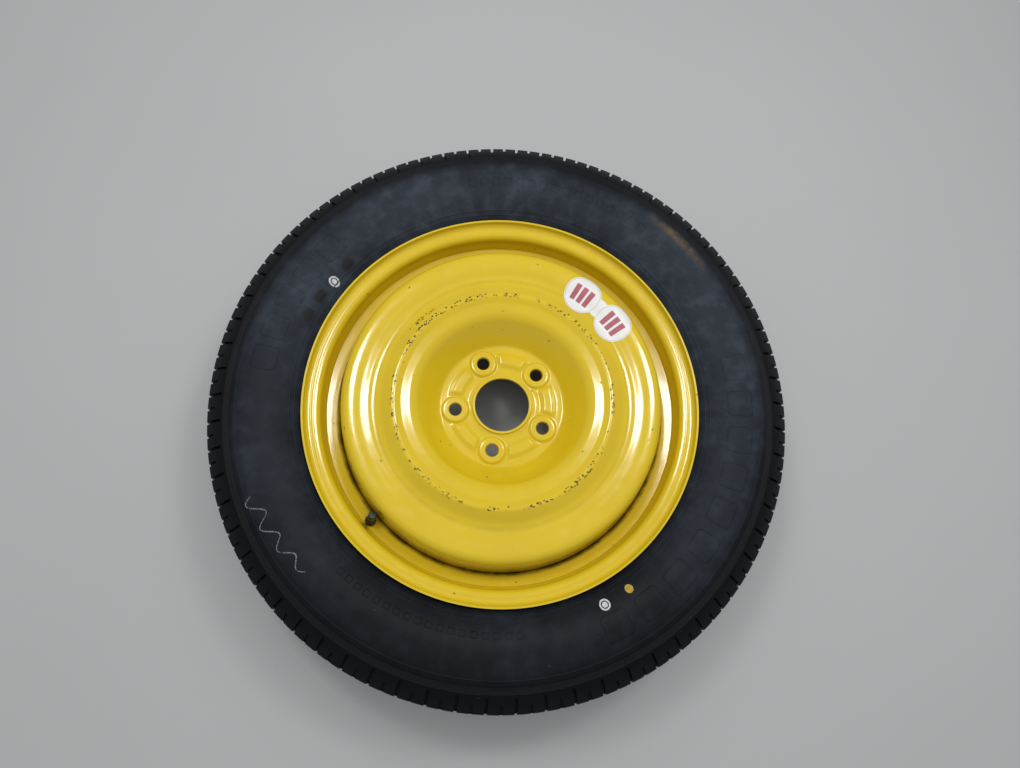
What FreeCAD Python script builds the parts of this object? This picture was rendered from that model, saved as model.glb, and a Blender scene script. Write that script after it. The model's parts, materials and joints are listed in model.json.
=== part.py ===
"""Temporary-use spare wheel for a car: a pressed steel wheel with its tyre and snap-in valve.

The wheel lies flat. +Z is the wheel axis towards the outer face, the origin is on the axis in the
rim's centre plane, +X goes through one bolt hole and the valve stands at -X.
Millimetres and degrees throughout.
"""
import FreeCAD, Part
import Sketcher
import math
import os

DRIVING_SIZES = {
    # Rim: bead seats, flanges, outer ledge with the valve hole, and the well
    "rim_diameter": 436.6,
    "rim_width": 101.6,
    "rim_sheet": 2.3,
    "flange_height": 17.3,
    "flange_radius": 9.5,
    "flange_lip": 1.8,
    "heel_radius": 6.5,
    "bead_taper": 5.0,
    "outer_seat_width": 28.0,
    "inner_seat_width": 24.0,
    "ledge_slope": 18.0,
    "well_depth": 17.3,
    "well_low_edge": 9.0,
    "rim_bend_radius": 3.2,
    # Disc: hub face, bowl, crown ridge, groove, dome and the skirt pressed into the well
    "disc_sheet": 3.0,
    "wheel_offset": 30.0,
    "bore_diameter": 66.1,
    "collar_height": 4.5,
    "collar_cone_radius": 44.0,
    "collar_cone_rise": 1.4,
    "hub_face_radius": 76.0,
    "bowl_shoulder_radius": 97.0,
    "bowl_shoulder_height": 62.5,
    "crown_radius": 129.0,
    "crown_height": 75.2,
    "groove_radius": 150.0,
    "groove_height": 63.0,
    "dome_radius": 171.0,
    "dome_height": 70.6,
    "disc_shoulder_radius": 188.5,
    "disc_shoulder_height": 69.8,
    "skirt_top": 13.0,
    "skirt_end": -8.0,
    "bend_radius": 8.0,
    "crown_bend_radius": 7.0,
    "dome_bend_radius": 45.0,
    # Bolt circle: raised pads with cone seats, joined by a raised ring
    "bolt_count": 5,
    "bolt_circle": 114.3,
    "bolt_hole": 14.6,
    "bolt_seat_top": 17.0,
    "bolt_seat_angle": 60.0,
    "pad_top_diameter": 30.0,
    "pad_base_diameter": 34.5,
    "pad_height": 3.0,
    "ring_width": 17.0,
    "ring_height": 1.6,
    # Weld beads at the end of the skirt
    "weld_count": 6,
    "weld_length_angle": 24.0,
    "weld_leg": 3.0,
    # Tyre: section and tread grooves
    "tyre_diameter": 696.0,
    "section_width": 160.0,
    "tread_flat": 48.0,
    "shoulder_diameter": 686.0,
    "shoulder_width": 114.0,
    "shoulder_radius": 6.0,
    "upper_wall_inset": 28.0,
    "lower_wall_outset": 22.7,
    "wall_bend_upper": 78.0,
    "wall_bend_lower": 56.0,
    "sidewall": 6.5,
    "crown_wall": 11.0,
    "lining_bend": 40.0,
    "lining_shoulder_radius": 12.0,
    "bend_share_flat": 0.48,
    "bend_share_flank": 0.8,
    "lining_share_flat": 0.4,
    "lining_share_flank": 0.65,
    "bead_width": 16.0,
    "bead_top": 6.0,
    "groove_width": 6.0,
    "groove_depth": 4.0,
    "groove_inner_place": 11.0,
    "groove_outer_place": 33.0,
    # Label on the dome: two round lobes
    "label_glue": 0.05,
    "label_thickness": 0.25,
    "label_lobe_diameter": 44.0,
    "label_waist_diameter": 26.0,
    "label_place_radius": 164.5,
    "label_spread_angle": 9.2,
    "label_turn_angle": 2.6,
    # Valve, along its own axis from the rim's outer ledge surface
    "valve_hole": 11.5,
    "valve_foot_spread": 17.6,
    "valve_foot_height": 5.0,
    "valve_bulge_diameter": 13.0,
    "valve_neck_diameter": 9.6,
    "valve_bulge_foot": 1.5,
    "valve_bulge_height": 4.0,
    "valve_rubber_height": 15.5,
    "barrel_diameter": 7.7,
    "barrel_root_diameter": 6.4,
    "barrel_root_depth": 5.0,
    "barrel_height": 25.0,
    "barrel_bore": 4.0,
    "core_thread": 5.3,
    "core_seat_height": 18.0,
    "core_seat_length": 1.2,
    "core_plug_top": 24.2,
    "core_plug_length": 3.6,
    "core_slot_width": 1.2,
    "core_slot_depth": 1.6,
    "housing_diameter": 3.6,
    "housing_wall": 0.35,
    "housing_foot": 9.0,
    "housing_lip": 0.5,
    "gasket_length": 2.0,
    "pin_diameter": 0.9,
    "pin_top": 24.5,
    "pin_head_diameter": 1.2,
    "pin_head_length": 0.7,
    "pin_collar_diameter": 2.3,
    "pin_collar_length": 0.6,
    "pin_collar_height": 16.2,
    "pin_clearance": 0.45,
    "pin_tail": 1.6,
    "cup_diameter": 3.3,
    "cup_gap": 0.15,
    "cup_length": 1.2,
    "spring_wire": 0.3,
    "spring_turns": 6.0,
    "cap_diameter": 9.8,
    "cap_clearance": 0.15,
    "cap_gap": 0.3,
    "cap_top_wall": 1.2,
    "cap_flutes": 12,
    "flute_width": 1.3,
    "flute_depth": 0.45,
    "cap_seal_thickness": 0.8,
    "cap_seal_diameter": 7.0,
    "seal_gap": 0.25,
}

doc = FreeCAD.newDocument("spare_wheel")
sheet = doc.addObject("Spreadsheet::Sheet", "dims")
for row, (alias, number) in enumerate(DRIVING_SIZES.items(), start=1):
    sheet.set(f"A{row}", alias.replace("_", " "))
    sheet.set(f"B{row}", str(number))
    sheet.setAlias(f"B{row}", alias)
doc.recompute()


def size(expression):
    """Value of an expression of the sheet's sizes, as a plain number."""
    found = sheet.evalExpression(str(expression))
    return float(getattr(found, "Value", found))


def new_body(label):
    """An empty body whose label names its file."""
    body = doc.addObject("PartDesign::Body", label)
    body.Label = label
    return body


def origin_feature(body, role):
    """One of the body's own origin planes or axes."""
    return next(item for item in body.Origin.OriginFeatures if item.Role == role)


def unit(start, end):
    """Unit vector from one point to another."""
    step = end.sub(start)
    return step.multiply(1.0 / step.Length)


def draw_outline(sketch, corners):
    """Add one closed outline to a sketch, with its corners and bend radii bound to the sheet.

    Each corner is (x, y) or (x, y, radius), all written as expressions.
    """
    count = len(corners)
    points = [FreeCAD.Vector(size(c[0]), size(c[1]), 0) for c in corners]
    cut_back = []
    for i, corner in enumerate(corners):
        if len(corner) < 3:
            cut_back.append(0.0)
            continue
        before = unit(points[i], points[i - 1])
        after = unit(points[i], points[(i + 1) % count])
        half_angle = before.getAngle(after) / 2
        cut_back.append(size(corner[2]) / math.tan(half_angle))
    lines = []
    for i in range(count):
        j = (i + 1) % count
        along = unit(points[i], points[j])
        start = points[i] + along * cut_back[i]
        end = points[j] - along * cut_back[j]
        lines.append(sketch.addGeometry(Part.LineSegment(start, end), False))
    rules = []
    bound = []
    for i, corner in enumerate(corners):
        line_in, line_out = lines[i - 1], lines[i]
        if len(corner) < 3:
            rules.append(Sketcher.Constraint("Coincident", line_in, 2, line_out, 1))
            anchor = (line_out, 1)
        else:
            into, out = unit(points[i - 1], points[i]), unit(points[i], points[(i + 1) % count])
            first = points[i] - into * cut_back[i]
            last = points[i] + out * cut_back[i]
            inwards = unit(points[i], (first + last) * 0.5)
            radius = size(corner[2])
            middle = points[i] + inwards * (math.hypot(radius, cut_back[i]) - radius)
            arc = sketch.addGeometry(Part.Arc(first, middle, last), False)
            turns_left = into.x * out.y - into.y * out.x > 0
            arc_first, arc_last = (1, 2) if turns_left else (2, 1)
            rules.append(Sketcher.Constraint("Tangent", line_in, 2, arc, arc_first))
            rules.append(Sketcher.Constraint("Tangent", line_out, 1, arc, arc_last))
            point = sketch.addGeometry(Part.Point(points[i]), True)
            rules.append(Sketcher.Constraint("PointOnObject", point, 1, line_in))
            rules.append(Sketcher.Constraint("PointOnObject", point, 1, line_out))
            rules.append(Sketcher.Constraint("Radius", arc, radius))
            bound.append((len(rules) - 1, corner[2]))
            anchor = (point, 1)
        across = ("DistanceX", corner[0], points[i].x)
        up = ("DistanceY", corner[1], points[i].y)
        for kind, place, value in (across, up):
            rules.append(Sketcher.Constraint(kind, -1, 1, *anchor, value))
            bound.append((len(rules) - 1, place))
    first_rule = sketch.ConstraintCount
    sketch.addConstraint(rules)
    for offset, expression in bound:
        sketch.setExpression(f"Constraints[{first_rule + offset}]", str(expression))


def new_sketch(body, name, plane, *outlines):
    """A sketch on one of the body's origin planes with one or more closed outlines."""
    sketch = body.newObject("Sketcher::SketchObject", name)
    sketch.AttachmentSupport = [(origin_feature(body, plane), "")]
    sketch.MapMode = "FlatFace"
    for corners in outlines:
        draw_outline(sketch, corners)
    return sketch


def revolve(body, name, *outlines):
    """Turn outlines in the XZ plane once round the body's Z axis."""
    sketch = new_sketch(body, name + "_section", "XZ_Plane", *outlines)
    feature = body.newObject("PartDesign::Revolution", name)
    feature.Profile = sketch
    feature.ReferenceAxis = (origin_feature(body, "Z_Axis"), [""])
    feature.Angle = 360
    doc.recompute()
    return feature


def shell_out(body, form, name, sheet_size, removed_heights):
    """Hollow a turned form to a pressed sheet, open at the flat end faces at the given heights."""
    ends = []
    for number, face in enumerate(form.Shape.Faces, start=1):
        flat = isinstance(face.Surface, Part.Plane)
        if flat and any(abs(face.CenterOfMass.z - size(z)) < 1e-6 for z in removed_heights):
            ends.append(f"Face{number}")
    feature = body.newObject("PartDesign::Thickness", name)
    feature.Base = (form, ends)
    feature.setExpression("Value", sheet_size)
    feature.Reversed = True
    feature.Join = "Intersection"
    doc.recompute()
    return feature


def primitive(body, kind, name, place, **sizes):
    """An additive or subtractive primitive of a body, with its sizes and its place bound."""
    feature = body.newObject(f"PartDesign::{kind}", name)
    for axis, expression in zip("xyz", place):
        feature.setExpression(f"Placement.Base.{axis}", str(expression))
    for key, expression in sizes.items():
        feature.setExpression(key, str(expression))
    doc.recompute()
    return feature


def ring_pattern(body, name, originals, count):
    """Repeat features evenly round the body's Z axis."""
    feature = body.newObject("PartDesign::PolarPattern", name)
    feature.Originals = originals
    feature.Axis = (origin_feature(body, "Z_Axis"), [""])
    feature.Angle = 360
    feature.setExpression("Occurrences", count)
    body.Tip = feature
    doc.recompute()
    return feature


# Heights and radii that several pieces share
SEAT = "(dims.rim_diameter / 2)"
HALF_RIM = "(dims.rim_width / 2)"
FLANGE = f"({SEAT} + dims.flange_height)"
TIP = f"({HALF_RIM} + dims.flange_radius + dims.flange_lip)"
WELL = f"({SEAT} - dims.well_depth)"
WELL_INSIDE = f"({WELL} - dims.rim_sheet)"
SEAT_END = f"({SEAT} - dims.outer_seat_width * tan(dims.bead_taper))"
SEAT_END_Z = f"({HALF_RIM} - dims.outer_seat_width)"
LEDGE_DROP = f"(({SEAT_END} - {WELL}) * tan(dims.ledge_slope))"
HUB_FACE = "(dims.wheel_offset + dims.disc_sheet)"
BORE = "(dims.bore_diameter / 2)"
BOLT_PLACE = "(dims.bolt_circle / 2)"
VALVE_PLACE = f"(({SEAT_END} + {WELL}) / 2 - dims.rim_sheet * sin(dims.ledge_slope))"
VALVE_Z = f"({SEAT_END_Z} - {LEDGE_DROP} / 2 + dims.rim_sheet * cos(dims.ledge_slope))"


def place_on_ledge(item, lift="0"):
    """Stand an item on the rim's ledge at -X, its own Z along the valve's axis, lifted along it."""
    item.Placement = FreeCAD.Placement(FreeCAD.Vector(), FreeCAD.Rotation(FreeCAD.Vector(0, 1, 0), 1))
    item.setExpression("Placement.Base.x", f"({lift}) * sin(dims.ledge_slope) - {VALVE_PLACE}")
    item.setExpression("Placement.Base.z", f"({lift}) * cos(dims.ledge_slope) + {VALVE_Z}")
    item.setExpression("Placement.Rotation.Angle", "dims.ledge_slope")


def build_rim():
    """The rolled rim: two flanges and bead seats, the ledge for the valve and the well."""
    body = new_body("wheel_rim")
    bend = "dims.rim_bend_radius"
    inner_end = f"{SEAT} - dims.inner_seat_width * tan(dims.bead_taper)"
    form = revolve(body, "rim_form", [
        ("0", TIP),
        (FLANGE, TIP),
        (FLANGE, HALF_RIM, "dims.flange_radius"),
        (SEAT, HALF_RIM, "dims.heel_radius"),
        (SEAT_END, SEAT_END_Z, bend),
        (WELL, f"{SEAT_END_Z} - {LEDGE_DROP}", bend),
        (WELL, "-dims.well_low_edge", bend),
        (inner_end, f"dims.inner_seat_width - {HALF_RIM}", bend),
        (SEAT, f"-{HALF_RIM}", "dims.heel_radius"),
        (FLANGE, f"-{HALF_RIM}", "dims.flange_radius"),
        (FLANGE, f"-{TIP}"),
        ("0", f"-{TIP}"),
    ])
    shell_out(body, form, "rim_sheet", "dims.rim_sheet", [TIP, f"-{TIP}"])
    hole = primitive(body, "SubtractiveCylinder", "valve_hole", (0, 0, 0),
                     Radius="dims.valve_hole / 2", Height="6 * dims.rim_sheet")
    place_on_ledge(hole, "-3 * dims.rim_sheet")
    return body


def build_disc():
    """The pressed disc: collar, bolt pads and ring, bowl, crown ridge, groove, dome and skirt."""
    body = new_body("wheel_disc")
    collar = f"({BORE} + dims.disc_sheet)"
    bend = "dims.bend_radius"
    ring_in = f"({BOLT_PLACE} - dims.ring_width / 2)"
    ring_out = f"({BOLT_PLACE} + dims.ring_width / 2)"
    ring_top = f"{HUB_FACE} + dims.ring_height"
    ring_flank = "(2 * dims.ring_height)"
    form = revolve(body, "disc_form", [
        ("0", f"{HUB_FACE} + dims.collar_height"),
        (collar, f"{HUB_FACE} + dims.collar_height"),
        (collar, f"{HUB_FACE} + dims.collar_cone_rise"),
        ("dims.collar_cone_radius", HUB_FACE),
        (ring_in, HUB_FACE),
        (f"{ring_in} + {ring_flank}", ring_top, bend),
        (f"{ring_out} - {ring_flank}", ring_top, bend),
        (ring_out, HUB_FACE),
        ("dims.hub_face_radius", HUB_FACE, bend),
        ("dims.bowl_shoulder_radius", "dims.bowl_shoulder_height", f"2 * {bend}"),
        ("dims.crown_radius", "dims.crown_height", "dims.crown_bend_radius"),
        ("dims.groove_radius", "dims.groove_height", bend),
        ("dims.dome_radius", "dims.dome_height", "dims.dome_bend_radius"),
        ("dims.disc_shoulder_radius", "dims.disc_shoulder_height", bend),
        (WELL_INSIDE, "dims.skirt_top", f"2 * {bend}"),
        (WELL_INSIDE, "dims.skirt_end"),
        ("0", "dims.skirt_end"),
    ])
    shell_out(body, form, "disc_sheet", "dims.disc_sheet", ["dims.skirt_end"])
    pad = primitive(body, "AdditiveCone", "bolt_pad", (BOLT_PLACE, 0, HUB_FACE),
                    Radius1="dims.pad_base_diameter / 2", Radius2="dims.pad_top_diameter / 2",
                    Height="dims.pad_height")
    ring_pattern(body, "bolt_pads", [pad], "dims.bolt_count")
    hollow = primitive(body, "SubtractiveCone", "pad_hollow", (BOLT_PLACE, 0, "dims.wheel_offset"),
                       Radius1="(dims.pad_base_diameter - dims.disc_sheet) / 2",
                       Radius2="(dims.pad_top_diameter - dims.disc_sheet) / 2",
                       Height="dims.pad_height")
    ring_pattern(body, "pad_hollows", [hollow], "dims.bolt_count")
    primitive(body, "SubtractiveCylinder", "centre_bore", (0, 0, "dims.wheel_offset"),
              Radius=BORE, Height="2 * dims.collar_height + dims.disc_sheet")
    pad_top = f"({HUB_FACE} + dims.pad_height)"
    hole = primitive(body, "SubtractiveCylinder", "bolt_hole", (BOLT_PLACE, 0, "dims.wheel_offset"),
                     Radius="dims.bolt_hole / 2", Height="2 * (dims.pad_height + dims.disc_sheet)")
    seat_depth = "(dims.bolt_seat_top - dims.bolt_hole) / 2 / tan(dims.bolt_seat_angle / 2)"
    seat = primitive(body, "SubtractiveCone", "nut_seat", (BOLT_PLACE, 0, f"{pad_top} - {seat_depth}"),
                     Radius1="dims.bolt_hole / 2", Radius2="dims.bolt_seat_top / 2", Height=seat_depth)
    ring_pattern(body, "bolt_holes", [hole, seat], "dims.bolt_count")
    return body


def build_welds():
    """Short fillet welds that join the end of the skirt to the rim's well."""
    beads = []
    for number in range(int(size("dims.weld_count"))):
        sketch = doc.addObject("Sketcher::SketchObject", f"weld_{number}_section")
        sketch.Placement = FreeCAD.Placement(FreeCAD.Vector(), FreeCAD.Rotation(FreeCAD.Vector(1, 0, 0), 90))
        draw_outline(sketch, [
            (WELL_INSIDE, "dims.skirt_end"),
            (WELL_INSIDE, "dims.skirt_end - dims.weld_leg"),
            (f"{WELL_INSIDE} - dims.weld_leg", "dims.skirt_end"),
        ])
        bead = doc.addObject("Part::Revolution", f"weld_{number}")
        bead.Source = sketch
        bead.Axis = (0, 0, 1)
        bead.setExpression("Angle", "dims.weld_length_angle")
        bead.Solid = True
        bead.Placement = FreeCAD.Placement(FreeCAD.Vector(), FreeCAD.Rotation(FreeCAD.Vector(0, 0, 1), 1))
        bead.setExpression("Placement.Rotation.Angle", f"{number} * 360 / dims.weld_count")
        beads.append(bead)
    group = doc.addObject("Part::Compound", "weld_beads")
    group.Label = "weld_beads"
    group.Links = beads
    return group


# The tyre's section: outline corners of the upper half, from the bead toe to the tread
HALF_SECTION = "(dims.section_width / 2)"
TREAD = "(dims.tyre_diameter / 2)"
SHOULDER = "(dims.shoulder_diameter / 2)"
HALF_SHOULDER = "(dims.shoulder_width / 2)"
HALF_FLAT = "(dims.tread_flat / 2)"
BEAD_LEAVES = f"({FLANGE} - dims.rim_sheet)"
TOE_Z = f"({HALF_RIM} - dims.bead_width)"
LOWER_WALL = f"({BEAD_LEAVES} + dims.lower_wall_outset)"
UPPER_WALL = f"({SHOULDER} - dims.upper_wall_inset)"
FLAT_RUN = f"({UPPER_WALL} - {LOWER_WALL})"
LOWER_RISE = f"atan(({HALF_SECTION} - {HALF_RIM}) / dims.lower_wall_outset)"
UPPER_SLOPE = f"(({HALF_SECTION} - {HALF_SHOULDER}) / dims.upper_wall_inset)"
UPPER_FALL = f"atan({UPPER_SLOPE})"
LOWER_SHIFT = f"(dims.sidewall * tan({LOWER_RISE} / 2))"
UPPER_SHIFT = f"(dims.sidewall * tan({UPPER_FALL} / 2))"


def fitted_bend(wanted, turn, *runs):
    """A bend radius that is cut down where it would use up one of the straight runs beside it."""
    room = "; ".join(f"{run} / tan({turn} / 2)" for run in runs)
    return f"min({wanted}; {room})"


def tread_drop(place):
    """How far the tread lies below its crown at a distance from the centre plane."""
    return f"(({TREAD} - {SHOULDER}) * ({place} - {HALF_FLAT}) / ({HALF_SHOULDER} - {HALF_FLAT}))"


def mirrored(corners):
    """The same corners below the centre plane, in the opposite order."""
    return [(x, f"-{y}", *rest) for x, y, *rest in reversed(corners)]


def build_tyre():
    """The tyre as one moulding: beads on the seats, sidewalls and grooved tread."""
    body = new_body("tyre")
    flat = f"dims.bend_share_flat * {FLAT_RUN}"
    lower_bend = fitted_bend("dims.wall_bend_lower", LOWER_RISE, flat,
                             f"dims.bend_share_flank * dims.lower_wall_outset / cos({LOWER_RISE})")
    upper_bend = fitted_bend("dims.wall_bend_upper", UPPER_FALL, flat,
                             f"dims.bend_share_flank * dims.upper_wall_inset / cos({UPPER_FALL})")
    outside = [
        (f"{SEAT} - dims.bead_width * tan(dims.bead_taper)", TOE_Z),
        (SEAT, HALF_RIM, "dims.heel_radius"),
        (BEAD_LEAVES, HALF_RIM, "dims.heel_radius"),
        (LOWER_WALL, HALF_SECTION, lower_bend),
        (UPPER_WALL, HALF_SECTION, upper_bend),
        (SHOULDER, HALF_SHOULDER, "dims.shoulder_radius"),
        (TREAD, HALF_FLAT),
    ]
    lining_shoulder = f"({SHOULDER} - dims.crown_wall)"
    lining_upper = f"({UPPER_WALL} - {UPPER_SHIFT})"
    lining_wall = f"({HALF_SECTION} - dims.sidewall)"
    lining_run = f"(({lining_shoulder} - {lining_upper}) / cos({UPPER_FALL}))"
    inside = [
        (f"{TREAD} - dims.crown_wall", HALF_FLAT),
        (lining_shoulder, f"({lining_wall} - ({lining_shoulder} - {lining_upper}) * {UPPER_SLOPE})",
         "dims.lining_shoulder_radius"),
        (lining_upper, lining_wall,
         fitted_bend("dims.lining_bend", UPPER_FALL, f"dims.lining_share_flat * {FLAT_RUN}",
                     f"dims.lining_share_flank * {lining_run}")),
        (f"{LOWER_WALL} + {LOWER_SHIFT}", lining_wall, f"{lower_bend} - dims.sidewall"),
        (f"{BEAD_LEAVES} + {LOWER_SHIFT}", f"({HALF_RIM} - dims.sidewall)"),
        (f"{SEAT} + dims.bead_top", f"({TOE_Z})"),
    ]
    revolve(body, "tyre_form", outside + mirrored(outside) + mirrored(inside) + inside)
    rings = []
    for place, drop in (("dims.groove_inner_place", "0"),
                        ("dims.groove_outer_place", tread_drop("dims.groove_outer_place"))):
        low, high = f"({place} - dims.groove_width / 2)", f"({place} + dims.groove_width / 2)"
        floor = f"{TREAD} - {drop} - dims.groove_depth"
        past = f"{TREAD} + dims.groove_depth"
        ring = [(floor, low), (past, low), (past, high), (floor, high)]
        rings += [ring, mirrored(ring)]
    sketch = new_sketch(body, "groove_section", "XZ_Plane", *rings)
    groove = body.newObject("PartDesign::Groove", "tread_grooves")
    groove.Profile = sketch
    groove.ReferenceAxis = (origin_feature(body, "Z_Axis"), [""])
    groove.Angle = 360
    doc.recompute()
    return body


def build_label():
    """A thin two-lobed label that lies on the dome, between the crown ridge and the disc's edge."""
    dome = [
        ("dims.crown_radius", "dims.crown_height"),
        ("dims.groove_radius", "dims.groove_height", "dims.bend_radius"),
        ("dims.dome_radius", "dims.dome_height", "dims.dome_bend_radius"),
        ("dims.disc_shoulder_radius", "dims.disc_shoulder_height", "dims.bend_radius"),
        (WELL_INSIDE, "dims.skirt_top"),
    ]
    bottom = [(x, f"{y} + dims.label_glue", *bend) for x, y, *bend in dome]
    top = [(x, f"{y} + dims.label_glue + dims.label_thickness", *bend) for x, y, *bend in reversed(dome)]
    skin = new_body("label_skin")
    revolve(skin, "label_skin_form", bottom + top)
    lobes = []
    for name, spread, diameter in (("label_lobe_a", "dims.label_spread_angle", "dims.label_lobe_diameter"),
                                   ("label_lobe_b", "-dims.label_spread_angle", "dims.label_lobe_diameter"),
                                   ("label_waist", "0", "dims.label_waist_diameter")):
        lobe = doc.addObject("Part::Cylinder", name)
        lobe.setExpression("Radius", f"{diameter} / 2")
        lobe.setExpression("Height", "2 * dims.crown_height")
        turn = f"(dims.label_turn_angle + {spread})"
        lobe.setExpression("Placement.Base.x", f"dims.label_place_radius * cos({turn})")
        lobe.setExpression("Placement.Base.y", f"dims.label_place_radius * sin({turn})")
        lobes.append(lobe)
    outline = doc.addObject("Part::MultiFuse", "label_outline")
    outline.Shapes = lobes
    label = doc.addObject("Part::Common", "label")
    label.Base = skin
    label.Tool = outline
    label.Label = "label"
    return label


def turned(label, *outlines):
    """A body turned round the valve's axis and stood on the rim's ledge."""
    body = new_body(label)
    revolve(body, label + "_form", *outlines)
    place_on_ledge(body)
    return body


# Heights along the valve's axis that its pieces share
BARREL = "(dims.barrel_diameter / 2)"
BARREL_ROOT = "(dims.barrel_root_diameter / 2)"
BARREL_BORE = "(dims.barrel_bore / 2)"
CORE_THREAD = "(dims.core_thread / 2)"
CORE_SEAT_LOW = "(dims.core_seat_height - dims.core_seat_length)"
PLUG_FOOT = "(dims.core_plug_top - dims.core_plug_length)"
HOUSING = "(dims.housing_diameter / 2)"
HOUSING_BORE = f"({HOUSING} - dims.housing_wall)"
PIN = "(dims.pin_diameter / 2)"
PIN_WAY = f"({PIN} + dims.pin_clearance)"
CAP_FOOT = "(dims.valve_rubber_height + dims.cap_gap)"
SEAL_FOOT = "(dims.barrel_height + dims.seal_gap)"
SEAL_TOP = f"({SEAL_FOOT} + dims.cap_seal_thickness)"
CAP_CEILING = f"({SEAL_TOP} + dims.seal_gap)"
CAP_TOP = f"({CAP_CEILING} + dims.cap_top_wall)"
SPRING_FOOT = "(dims.housing_foot + dims.housing_lip)"


def build_valve():
    """The snap-in valve: rubber body, brass barrel, and the core that screws into it."""
    hole = "dims.valve_hole / 2"
    foot_z = "(-dims.rim_sheet - dims.valve_foot_height)"
    rubber = turned("valve_rubber", [
        (BARREL_ROOT, foot_z),
        ("dims.valve_foot_spread / 2", foot_z, "dims.flute_width"),
        (hole, "-dims.rim_sheet"),
        (hole, "0"),
        ("dims.valve_bulge_diameter / 2", "dims.valve_bulge_foot"),
        ("dims.valve_bulge_diameter / 2", "dims.valve_bulge_height", "dims.flute_width"),
        ("dims.valve_neck_diameter / 2", "2 * dims.valve_bulge_height", "dims.valve_bulge_height"),
        ("dims.valve_neck_diameter / 2", "dims.valve_rubber_height"),
        (BARREL_ROOT, "dims.valve_rubber_height"),
    ])
    barrel = turned("valve_barrel", [
        (BARREL_BORE, "-dims.barrel_root_depth"),
        (BARREL_ROOT, "-dims.barrel_root_depth"),
        (BARREL_ROOT, "dims.valve_rubber_height"),
        (BARREL, "dims.valve_rubber_height"),
        (BARREL, "dims.barrel_height"),
        (CORE_THREAD, "dims.barrel_height"),
        (CORE_THREAD, "dims.core_seat_height"),
        (BARREL_BORE, CORE_SEAT_LOW),
    ])
    plug = turned("core_plug", [
        (PIN_WAY, PLUG_FOOT),
        (CORE_THREAD, PLUG_FOOT),
        (CORE_THREAD, "dims.core_plug_top"),
        (PIN_WAY, "dims.core_plug_top"),
    ])
    slot_floor = "dims.core_plug_top - dims.core_slot_depth"
    slot_place = ("-dims.core_thread", "-dims.core_slot_width / 2", slot_floor)
    primitive(plug, "SubtractiveBox", "key_slot", slot_place, Length="2 * dims.core_thread",
              Width="dims.core_slot_width", Height="2 * dims.core_slot_depth")
    housing = turned("core_housing", [
        (PIN_WAY, "dims.housing_foot"),
        (HOUSING, "dims.housing_foot"),
        (HOUSING, PLUG_FOOT),
        (HOUSING_BORE, PLUG_FOOT),
        (HOUSING_BORE, SPRING_FOOT),
        (PIN_WAY, SPRING_FOOT),
    ])
    gasket = turned("core_gasket", [
        (HOUSING, CORE_SEAT_LOW),
        (BARREL_BORE, CORE_SEAT_LOW),
        (CORE_THREAD, "dims.core_seat_height"),
        (CORE_THREAD, f"{CORE_SEAT_LOW} + dims.gasket_length"),
        (HOUSING, f"{CORE_SEAT_LOW} + dims.gasket_length"),
    ])
    return [rubber, barrel, plug, housing, gasket]


def build_core_pin():
    """The pin that is pressed to let air in, its sealing cup and the spring that lifts it."""
    cup_top = "(dims.housing_foot - dims.cup_gap)"
    cup_foot = f"({cup_top} - dims.cup_length)"
    collar = "(dims.pin_collar_diameter / 2)"
    collar_top = "dims.pin_collar_height + dims.pin_collar_length"
    head_foot = "dims.pin_top - dims.pin_head_length"
    pin = turned("core_pin", [
        ("0", f"{cup_top} - dims.pin_tail"),
        (PIN, f"{cup_top} - dims.pin_tail"),
        (PIN, "dims.pin_collar_height"),
        (collar, "dims.pin_collar_height"),
        (collar, collar_top),
        (PIN, collar_top),
        (PIN, head_foot),
        ("dims.pin_head_diameter / 2", head_foot),
        ("dims.pin_head_diameter / 2", "dims.pin_top"),
        ("0", "dims.pin_top"),
    ])
    cup = turned("core_cup", [
        (PIN, cup_foot),
        ("dims.cup_diameter / 2", cup_foot),
        ("dims.cup_diameter / 2", cup_top),
        (PIN, cup_top),
    ])
    spring = doc.addObject("Part::Feature", "core_spring")
    spring.Label = "core_spring"
    wire = size("dims.spring_wire") / 2
    coil = (size(PIN) + size(HOUSING_BORE)) / 2
    rise = size("dims.pin_collar_height") - size(SPRING_FOOT) - 2 * wire
    helix = Part.makeHelix(rise / size("dims.spring_turns"), rise, coil)
    section = Part.Wire([Part.makeCircle(wire, FreeCAD.Vector(coil, 0, 0), FreeCAD.Vector(0, 1, 0))])
    spring.Shape = Part.Wire(helix.Edges).makePipeShell([section], True, True)
    place_on_ledge(spring, f"{SPRING_FOOT} + dims.spring_wire / 2")
    return [pin, cup, spring]


def build_cap():
    """The screwed dust cap, fluted for the fingers, and the seal inside it."""
    outer = "dims.cap_diameter / 2"
    bore = f"({BARREL} + dims.cap_clearance)"
    cap = turned("valve_cap", [
        (bore, CAP_FOOT),
        (outer, CAP_FOOT),
        (outer, CAP_TOP, "dims.cap_top_wall"),
        ("0", CAP_TOP),
        ("0", CAP_CEILING),
        (bore, CAP_CEILING),
    ])
    flute_place = (f"{outer} - dims.flute_depth", "-dims.flute_width / 2", CAP_FOOT)
    flute = primitive(cap, "SubtractiveBox", "flute", flute_place,
                      Length="2 * dims.flute_depth", Width="dims.flute_width",
                      Height=f"{CAP_TOP} - {CAP_FOOT} - 2 * dims.cap_top_wall")
    ring_pattern(cap, "flutes", [flute], "dims.cap_flutes")
    seal = turned("cap_seal", [
        ("0", SEAL_FOOT),
        ("dims.cap_seal_diameter / 2", SEAL_FOOT),
        ("dims.cap_seal_diameter / 2", SEAL_TOP),
        ("0", SEAL_TOP),
    ])
    return [cap, seal]


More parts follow.
